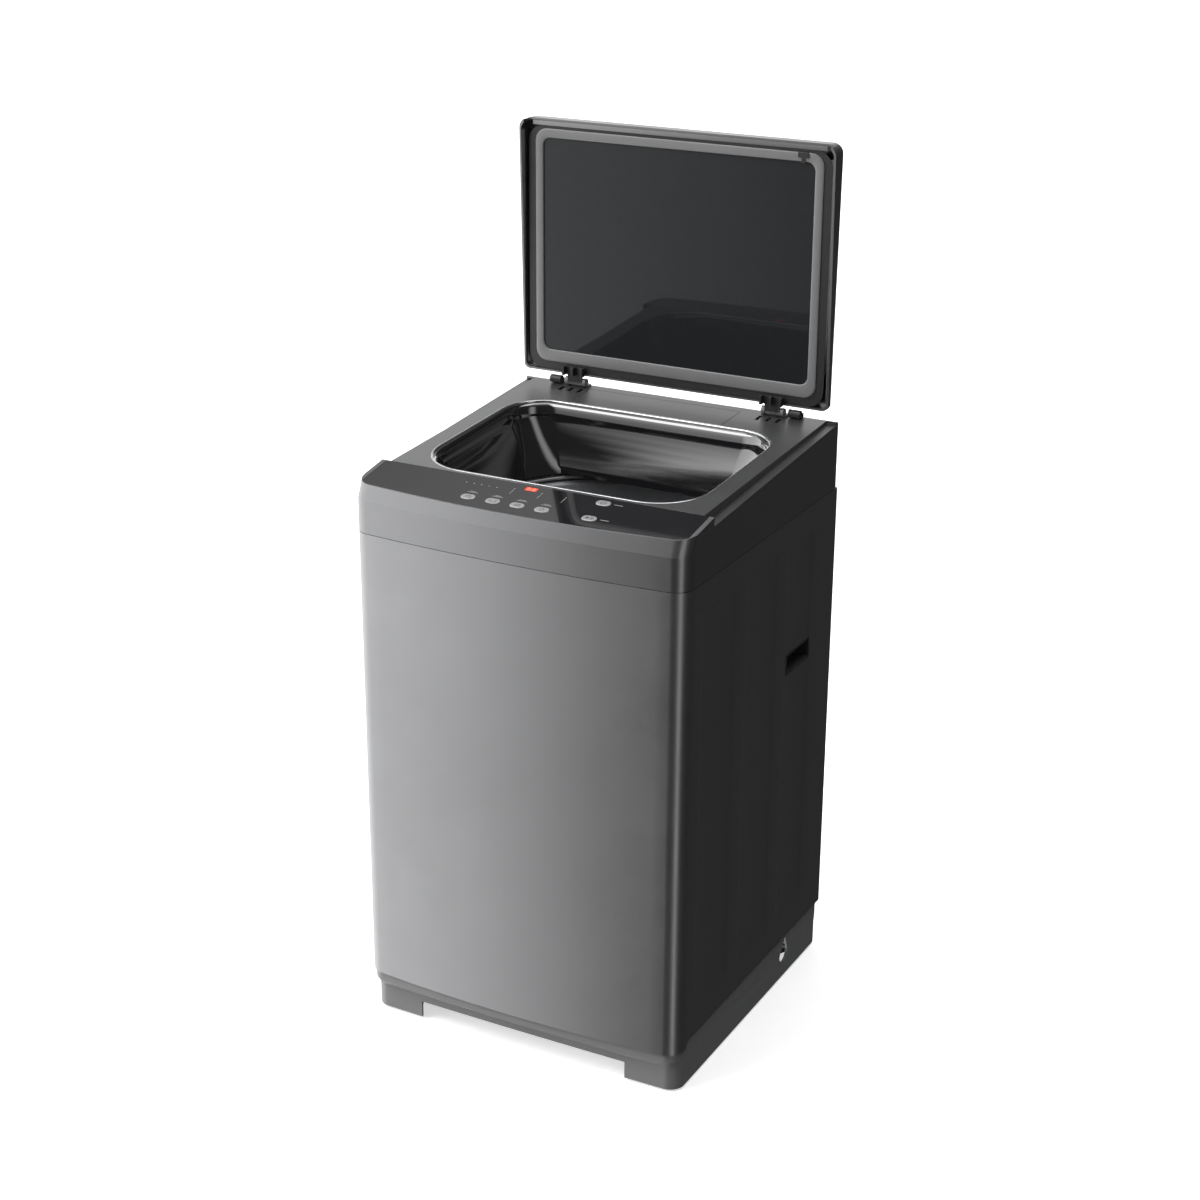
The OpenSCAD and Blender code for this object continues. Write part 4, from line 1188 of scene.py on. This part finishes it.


# Sections of the frame's bezel and of the groove round it, as lid_rings reads them. The groove is
# coloured black as painted shade in the recess between the bezel and the skirt
BEZEL = [(0, 0, 0, 246.4), (0, 0, 0, 244.4), (0.5, 0.5, 0.5, 243.8), (1.6, 1.6, 1.6, 243.55),
         (11.6, 17.6, 11.6, 243.55), (13.2, 19.2, 13.2, 243.8), (13.8, 19.8, 13.8, 244.4),
         (13.8, 19.8, 13.8, 246.4)]
GROOVE = [(13.9, 19.9, 13.9, 246.4), (13.9, 19.9, 13.9, 245.6), (26.9, 33.6, 18.5, 245.6),
          (26.9, 33.6, 18.5, 246.4)]


# The bar along the lid's free edge, between two corners
LIP_BAR = ((-0.2545, 0.24355, 1.3648), (0.2545, 0.2464, 1.3724))
# The pale liners inside the lid's skirts: distance from the middle, thickness, (height, depth)
LINER_X, LINER_WALL = 0.2692, 0.0006
LINER = [(0.9680, 0.2432), (1.3560, 0.2432), (1.3560, 0.2334), (0.9760, 0.2424)]
# Degrees by which the pane's shading leans, so that it mirrors more of the deck
LID_REFLECTION_LEAN = 3.5


def lid_lip():
    """The rounded bar along the lid's free edge."""
    lip = from_bmesh("lid_lip", slab(*LIP_BAR))
    modifier = lip.modifiers.new("round", "BEVEL")
    modifier.width = 0.0009
    modifier.segments = 3
    return baked(lip)


def lid_skirt_liners():
    """The two liners, as one object."""
    liners = []
    for side in (-1, 1):
        bm = flat_shape(LINER, LINER_WALL)
        upright = ((0, 0, side, side * LINER_X), (0, 1, 0, 0), (1, 0, 0, 0), (0, 0, 0, 1))
        bm.transform(Matrix(upright))
        bmesh.ops.recalc_face_normals(bm, faces=bm.faces)
        liners.append(from_bmesh("liner", bm))
    return joined("lid_skirt_liners", liners)


def lid_pane():
    """The lid's glass, flat shaded, with the shading of its inner face leaned."""
    pane = softened("lid_glass", "lid_pane", width=0.0006)
    pane.data.shade_flat()
    lean = math.radians(LID_REFLECTION_LEAN)
    leaned = Vector((0.0, -math.cos(lean), -math.sin(lean)))
    corners = []
    for face in pane.data.polygons:
        shading = leaned if face.normal.y < -0.99 else face.normal.copy()
        corners += [shading] * face.loop_total
    pane.data.normals_split_custom_set(corners)
    return pane


def build_lid():
    copied("lid_shell", "lid_shell_moulding", "lid", "cover_plastic", cover_gloss(), width=0.0007,
           segments=3)
    settle(lid_rings("lid_inner_frame", BEZEL), "lid", trim_satin(), ("lid_frame",))
    # Painted shade: the groove ring is coloured black for the shade that falls in it
    settle(lid_rings("lid_frame_groove", GROOVE), "lid", moulded_black())
    settle(lid_lip(), "lid", trim_satin())
    settle(lid_skirt_liners(), "lid", trim_satin())
    settle(lid_pane(), "lid", tinted_glass(), ("lid_glass",), sharp=None)
    copied("lid_clip", "lid_stop_pad", "lid", "black_plastic", moulded_black(), width=0.0003)


def two_tone(obj, light, dark, is_dark):
    """Two finishes on one mesh, picked face by face from its middle."""
    obj.data.materials.clear()
    obj.data.materials.append(light)
    obj.data.materials.append(dark)
    for face in obj.data.polygons:
        face.material_index = int(is_dark(face.center))
    return obj


# The part of a hinge's leaf coloured black, the fins' own black together with painted shade where
# they sit in shadow: above this height and in front of this depth
LEAF_BLACK_AND_SHADE_Z, LEAF_BLACK_AND_SHADE_Y = 0.9595, 0.2432


def build_hinges():
    for side in ("left", "right"):
        base = "hinge_base_" + side
        copied(base, "hinge_bracket_" + side, "cabinet", "trim_plastic", trim_satin())
        leaf = softened("lid_hinge_" + side, "hinge_leaf_" + side, width=0.0004)
        # Painted shade in part: the leaf's fins are coloured black where they sit in shadow
        two_tone(leaf, trim_satin(), moulded_black(),
                 lambda p: p.z > LEAF_BLACK_AND_SHADE_Z and p.y < LEAF_BLACK_AND_SHADE_Y)
        settle(leaf, "lid", None, ("lid_hinge_" + side,), sharp=None)
    copied("hinge_pins", "hinge_pin_rods", "cabinet", "zinc_steel", zinc_plate(), width=0.0004)
    copied("lid_dampers", "lid_damper_bodies", "cabinet", "black_plastic", moulded_black(),
           width=0.0008, segments=3)


# ------------------------------------------------------------------ inside

def build_tub():
    for cad, slot_name, material in (
            ("tub_wall", "white_plastic", white_moulding),
            ("tub_floor", "white_plastic", white_moulding),
            ("tub_ring", "ring_plastic", ring_moulding),
            ("mounting_plate", "zinc_steel", zinc_plate),
            ("clutch_housing", "cast_alloy", cast_alloy),
            ("motor_housing", "motor_paint", motor_enamel),
            ("drain_valve", "white_plastic", white_moulding),
            ("spin_seal", "rubber_black", rubber_black),
            ("drive_belt", "rubber_black", rubber_black)):
        copied(cad, cad + "_body", "tub", slot_name, material(), width=0.0006)
    for cad, body in (("drive_pulley", "pulley"), ("motor_rotor", "rotor")):
        copied(cad, cad + "_wheel", body, "cast_alloy", cast_alloy(), width=0.0006)


# Half width of a drum hole as a share of its tile, and the wall of the drum
HOLE_SHARE, DRUM_WALL = 0.115, 0.0008
# Slots of a lint filter: one slot's half sizes, their number, span, and the filter's place
SLOT_HALF, SLOT_DEEP = (0.0012, 0.004), 0.0006
SLOT_COUNT, SLOT_SPAN, FILTER_X, FILTER_Z = (22, 6), (0.26, 0.056), 0.2031, 0.485


def drum_tile():
    """A unit tile with an eight-sided hole."""
    bm = bmesh.new()
    outer = [(1, 0.5), (1, 1), (0.5, 1), (0, 1), (0, 0.5), (0, 0), (0.5, 0), (1, 0)]
    corners = [bm.verts.new((x, y, 0)) for x, y in outer]
    turns = [math.tau * i / 8 for i in range(8)]
    rim = [bm.verts.new((0.5 + HOLE_SHARE * math.cos(a), 0.5 + HOLE_SHARE * math.sin(a), 0.0))
           for a in turns]
    for i in range(8):
        j = (i + 1) % 8
        bm.faces.new((corners[i], corners[j], rim[j], rim[i]))
    return from_bmesh("tile", bm)


def build_basket():
    tile = drum_tile()
    skin = grown("drum_skin", drum_tree(), {
        "Tile": tile, "Columns": sizes().hole_columns, "Rows": sizes().hole_rows,
        "Radius": DRUM_R - 0.0002, "Bottom": DRUM_Z0, "Top": DRUM_Z1, "Material": drum_steel()})
    drop(tile)
    drum = thicken(skin, DRUM_WALL)
    drum.name = "drum_skin"
    settle(drum, "basket", drum_steel(), ("basket_drum",))
    for cad, slot_name, material in (("basket_hub", "cast_alloy", cast_alloy),
                                     ("basket_base", "ring_plastic", ring_moulding),
                                     ("balance_ring", "ring_plastic", ring_moulding),
                                     ("lint_filters", "white_plastic", white_moulding)):
        copied(cad, cad + "_body", "basket", slot_name, material(), width=0.0009, segments=3)
    hx, hy = SLOT_HALF
    slot_part = from_bmesh("slot", slab((-hx, -hy, 0.0), (hx, hy, SLOT_DEEP)))
    tree = row_tree()
    for name, side in (("right", 1), ("left", -1)):
        bars = grown("filter_slots_" + name, tree, {
            "Part": slot_part, "Columns": SLOT_COUNT[0], "Rows": SLOT_COUNT[1],
            "Width": SLOT_SPAN[0], "Height": SLOT_SPAN[1],
            "Place": (side * FILTER_X, 0.0, FILTER_Z), "Turn": (0.0, -side * math.pi / 2, 0.0),
            "Material": moulded_black()})
        settle(bars, "basket", moulded_black())
    drop(slot_part)


# Pulsator: its rim's radius and height, and how its top rises inwards over this span
PULSATOR_R, PULSATOR_Z, PULSATOR_RISE, PULSATOR_SPAN = 0.165, 0.284, 0.002, 0.055
PULSATOR_RINGS = ((48, 0.150), (36, 0.128))


def build_agitator():
    copied("pulsator", "pulsator_disc", "agitator", "ring_plastic", ring_moulding(), width=0.0025,
           segments=4)
    copied("wash_shaft", "wash_shaft_rod", "agitator", "zinc_steel", zinc_plate(), width=0.0006)
    dimple = from_bmesh("dimple", flat_shape(arc((0, 0), 0.0030, 0, 315, 7), 0.0002))
    tree = ring_tree()
    for count, radius in PULSATOR_RINGS:
        top = PULSATOR_Z + PULSATOR_RISE * (PULSATOR_R - radius) / PULSATOR_SPAN
        holes = grown(f"pulsator_holes_{count}", tree, {
            "Part": dimple, "Count": count, "Radius": radius, "Height": top + 0.0001,
            "Material": moulded_black()})
        settle(holes, "agitator", moulded_black())
    drop(dimple)


def build_suspension():
    springs = grown("suspension_coils", spring_tree(), {
        "Turns": sizes().spring_turns, "Radius": SPRING_R, "Wire": SPRING_WIRE,
        "Height": SPRING_H, "Base": SPRING_Z, "Spread": SPRING_SPREAD, "Material": zinc_plate()})
    settle(springs, "cabinet", zinc_plate(), ("suspension_springs",))
    for cad in ("suspension_brackets", "suspension_rods"):
        copied(cad, cad + "_plated", "cabinet", "zinc_steel", zinc_plate())


# Screws of the rear panel: head radii and height, columns and rows, span, and their middle
HEAD_R0, HEAD_R1, HEAD_H = 0.0045, 0.0036, 0.0022
SCREW_COUNT, SCREW_SPAN, SCREWS_AT = (2, 5), (0.520, 0.690), (0.0, 0.2724, 0.455)


def screw_head():
    """One screw's head, upright."""
    head = bmesh.new()
    bmesh.ops.create_cone(head, cap_ends=True, segments=18, radius1=HEAD_R0, radius2=HEAD_R1,
                          depth=HEAD_H)
    bmesh.ops.recalc_face_normals(head, faces=head.faces)
    return from_bmesh("screw", head)


def build_rear():
    copied("rear_panel", "rear_panel_moulding", "cabinet", "rear_plastic", rear_moulding(),
           width=0.0007)
    screw = screw_head()
    heads = grown("rear_screw_heads", row_tree(), {
        "Part": screw, "Columns": SCREW_COUNT[0], "Rows": SCREW_COUNT[1],
        "Width": SCREW_SPAN[0], "Height": SCREW_SPAN[1], "Place": SCREWS_AT,
        "Turn": (-math.pi / 2, 0.0, 0.0), "Material": zinc_plate()})
    drop(screw)
    settle(heads, "cabinet", zinc_plate(), ("rear_panel_screws",))
    hose = grown("drain_hose_ribbed", hose_tree(), {"Material": rubber_black()})
    settle(hose, "cabinet", rubber_black(), ("drain_hose",))
    for cad, slot_name, material in (("drain_outlet", "black_plastic", moulded_black),
                                     ("cord_gland", "black_plastic", moulded_black),
                                     ("run_capacitor", "motor_paint", motor_enamel),
                                     ("inlet_valve", "white_plastic", white_moulding),
                                     ("inlet_box", "white_plastic", white_moulding),
                                     ("lid_switch", "black_plastic", moulded_black),
                                     ("pressure_sensor", "black_plastic", moulded_black)):
        copied(cad, cad + "_body", "cabinet", slot_name, material(), width=0.0006)


# ------------------------------------------------------------------ stage

# Camera: bearing and height in degrees, distance, the point it looks at, its lens and shift
CAMERA_BEARING, CAMERA_HEIGHT, CAMERA_DISTANCE = 28.80, 21.56, 3.61
CAMERA_TARGET = (-0.0566, 0.0, 0.6473)
CAMERA_LENS, CAMERA_SENSOR, CAMERA_SHIFT = 68.08, 36.0, (0.0268, 0.0098)
FLOOR_SIZE = 30.0
# Softbox over the machine: place, target, size and power
SOFTBOX_AT, SOFTBOX_TARGET, SOFTBOX_SIZE, SOFTBOX_POWER = (0.1, 0.5, 3.2), (0, 0, 0.9), (2.2, 1.2), 26


def aimed(name, data, place, direction):
    """A camera or a light placed in the scene and turned to look along a direction."""
    made = add_object(name, data)
    made.location = place
    made.rotation_euler = direction.to_track_quat("-Z", "Y").to_euler()
    return made


def build_camera(scene):
    azimuth, elevation = math.radians(CAMERA_BEARING), math.radians(CAMERA_HEIGHT)
    away = Vector((math.sin(azimuth) * math.cos(elevation),
                   -math.cos(azimuth) * math.cos(elevation), math.sin(elevation)))
    data = bpy.data.cameras.new("camera")
    data.lens = CAMERA_LENS
    data.sensor_width = CAMERA_SENSOR
    data.shift_x, data.shift_y = CAMERA_SHIFT
    scene.camera = aimed("camera", data, Vector(CAMERA_TARGET) + away * CAMERA_DISTANCE, -away)


def build_softbox():
    """A soft rectangular light over the machine, which the camera does not see."""
    data = bpy.data.lights.new("softbox_top", "AREA")
    data.shape = "RECTANGLE"
    data.size, data.size_y = SOFTBOX_SIZE
    data.energy = SOFTBOX_POWER
    lamp = aimed("softbox_top", data, SOFTBOX_AT, Vector(SOFTBOX_TARGET) - Vector(SOFTBOX_AT))
    lamp.visible_camera = False


def build_floor():
    """A pale floor that takes the shadow and is not mirrored in the machine."""
    bm = bmesh.new()
    bmesh.ops.create_grid(bm, x_segments=2, y_segments=2, size=FLOOR_SIZE)
    floor = from_bmesh("floor", bm)
    floor.data.materials.append(floor_pale())
    floor.visible_glossy = False
    floor.visible_diffuse = False


def build_stage():
    scene = bpy.context.scene
    scene.view_settings.view_transform = "Standard"
    build_camera(scene)
    build_world(scene)
    build_floor()
    build_softbox()


# Soft cards of the studio. Each has a name, its west and east bearing from the front (west is
# negative), its low and high edge, the softness of its edges, all in degrees, and its level
CARDS = (
    ("left", -120, -29, -75, 52, 13, 3.0),
    ("right_strip", 42, 60, -60, 45, 7, 1.7),
    ("overhead", -180, 180, 64, 91, 8, 2.0),
    ("window", -76, -24, 43, 68, 4, 8.0),
    ("rear_low", -175, -118, -6, 15, 4, 1.5),
    ("rear_left", -181, -118, 5, 30, 4, 0.6),
    ("panel_left", -181, -118, 33, 58, 4, 0.50),
    ("rear_right", 118, 181, 22, 60, 14, 0.10),
)
STUDIO_FILL = 0.06


def build_world(scene):
    """White behind the machine, and a dark room with soft cards for everything it reflects."""
    world = bpy.data.worlds.new("studio")
    world.use_nodes = True
    tree = world.node_tree
    tree.nodes.clear()

    def step(operation, a, b=0.0, c=0.0):
        return node(tree, "ShaderNodeMath", {0: a, 1: b, 2: c}, operation=operation).outputs[0]

    def ramp(value, start, end):
        return node(tree, "ShaderNodeMapRange", {"Value": value, "From Min": start, "From Max": end},
                    interpolation_type="SMOOTHSTEP").outputs["Result"]

    aim = node(tree, "ShaderNodeTexCoord").outputs["Generated"]
    parts = node(tree, "ShaderNodeSeparateXYZ", {"Vector": aim})
    front = step("MULTIPLY", parts.outputs["Y"], -1.0)
    bearing = step("DEGREES", step("ARCTAN2", parts.outputs["X"], front))
    height = step("DEGREES", step("ARCSINE", parts.outputs["Z"]))
    total = None
    for _, west, east, low, high, soft, level in CARDS:
        shape = step("MULTIPLY", ramp(bearing, west - soft, west + soft),
                     ramp(bearing, east + soft, east - soft))
        shape = step("MULTIPLY", shape, ramp(height, low - soft, low + soft))
        shape = step("MULTIPLY", shape, ramp(height, high + soft, high - soft))
        total = step("MULTIPLY_ADD", shape, level, STUDIO_FILL if total is None else total)
    path = node(tree, "ShaderNodeLightPath")
    seen = node(tree, "ShaderNodeBackground", {"Color": (1, 1, 1, 1), "Strength": 1.0})
    cards = node(tree, "ShaderNodeBackground", {"Color": (1, 1, 1, 1), "Strength": total})
    mix = node(tree, "ShaderNodeMixShader", {0: path.outputs["Is Camera Ray"],
               1: cards.outputs[0], 2: seen.outputs[0]})
    node(tree, "ShaderNodeOutputWorld", {"Surface": mix.outputs[0]})
    scene.world = world


# ------------------------------------------------------------------ operators

class WasherOperator:
    """What the operators share."""
    bl_options = {"REGISTER", "UNDO"}


class WASHER_OT_stage(WasherOperator, bpy.types.Operator):
    """Sets the floor, the lights and the camera"""
    bl_idname = "washer.stage"
    bl_label = "Stage"

    def execute(self, context):
        build_stage()
        return {"FINISHED"}


class WASHER_OT_cabinet(WasherOperator, bpy.types.Operator):
    """Builds the pressed sheet cabinet and its finger grips"""
    bl_idname = "washer.cabinet"
    bl_label = "Cabinet"

    def execute(self, context):
        build_cabinet_skin()
        build_grips()
        return {"FINISHED"}


class WASHER_OT_base(WasherOperator, bpy.types.Operator):
    """Builds the moulded base and the feet"""
    bl_idname = "washer.base"
    bl_label = "Base and feet"

    def execute(self, context):
        build_base()
        build_feet()
        return {"FINISHED"}


class WASHER_OT_top_cover(WasherOperator, bpy.types.Operator):
    """Builds the top cover, the inlet cover and the wash well"""
    bl_idname = "washer.top_cover"
    bl_label = "Top cover"

    def execute(self, context):
        build_top_cover()
        build_inlet_cover()
        build_well()
        return {"FINISHED"}


class WASHER_OT_panel(WasherOperator, bpy.types.Operator):
    """Builds the control panel with its display, printed marks and keys"""
    bl_idname = "washer.panel"
    bl_label = "Control panel"

    def execute(self, context):
        build_panel()
        build_panel_marks()
        build_keys()
        return {"FINISHED"}


class WASHER_OT_lid(WasherOperator, bpy.types.Operator):
    """Builds the lid with its glass and the hinges"""
    bl_idname = "washer.lid"
    bl_label = "Lid"

    def execute(self, context):
        build_lid()
        build_hinges()
        return {"FINISHED"}


class WASHER_OT_tub(WasherOperator, bpy.types.Operator):
    """Builds the tub, its drive and its suspension"""
    bl_idname = "washer.tub"
    bl_label = "Tub and drive"

    def execute(self, context):
        build_tub()
        build_suspension()
        return {"FINISHED"}


class WASHER_OT_basket(WasherOperator, bpy.types.Operator):
    """Builds the perforated drum, balance ring, filters and pulsator"""
    bl_idname = "washer.basket"
    bl_label = "Basket"

    def execute(self, context):
        build_basket()
        build_agitator()
        return {"FINISHED"}


class WASHER_OT_rear(WasherOperator, bpy.types.Operator):
    """Builds the rear panel with its screws, hose, spout, gland and water inlet"""
    bl_idname = "washer.rear"
    bl_label = "Rear"

    def execute(self, context):
        build_rear()
        return {"FINISHED"}


OPERATORS = (WASHER_OT_stage, WASHER_OT_cabinet, WASHER_OT_base, WASHER_OT_top_cover,
             WASHER_OT_panel, WASHER_OT_lid, WASHER_OT_tub, WASHER_OT_basket, WASHER_OT_rear)


class WASHER_PT_sidebar(bpy.types.Panel):
    """Lists the sizes, the colours and the building steps"""
    bl_idname = "WASHER_PT_sidebar"
    bl_label = "Washer"
    bl_space_type = "VIEW_3D"
    bl_region_type = "UI"
    bl_category = "Washer"

    def draw(self, context):
        layout = self.layout
        for settings in (context.scene.washer_sizes, context.scene.washer_colours):
            box = layout.box()
            for name in settings.__annotations__:
                box.prop(settings, name)
        for operator in OPERATORS:
            layout.operator(operator.bl_idname)


CLASSES = (WasherSizes, WasherColours, *OPERATORS, WASHER_PT_sidebar)


def register():
    for item in CLASSES:
        bpy.utils.register_class(item)
    bpy.types.Scene.washer_sizes = bpy.props.PointerProperty(type=WasherSizes)
    bpy.types.Scene.washer_colours = bpy.props.PointerProperty(type=WasherColours)


def unregister():
    del bpy.types.Scene.washer_colours
    del bpy.types.Scene.washer_sizes
    for item in reversed(CLASSES):
        bpy.utils.unregister_class(item)


def main():
    register()
    bpy.ops.washer.stage()
    bpy.ops.washer.cabinet()
    bpy.ops.washer.base()
    bpy.ops.washer.top_cover()
    bpy.ops.washer.panel()
    bpy.ops.washer.lid()
    bpy.ops.washer.tub()
    bpy.ops.washer.basket()
    bpy.ops.washer.rear()


if __name__ == "__main__":
    main()
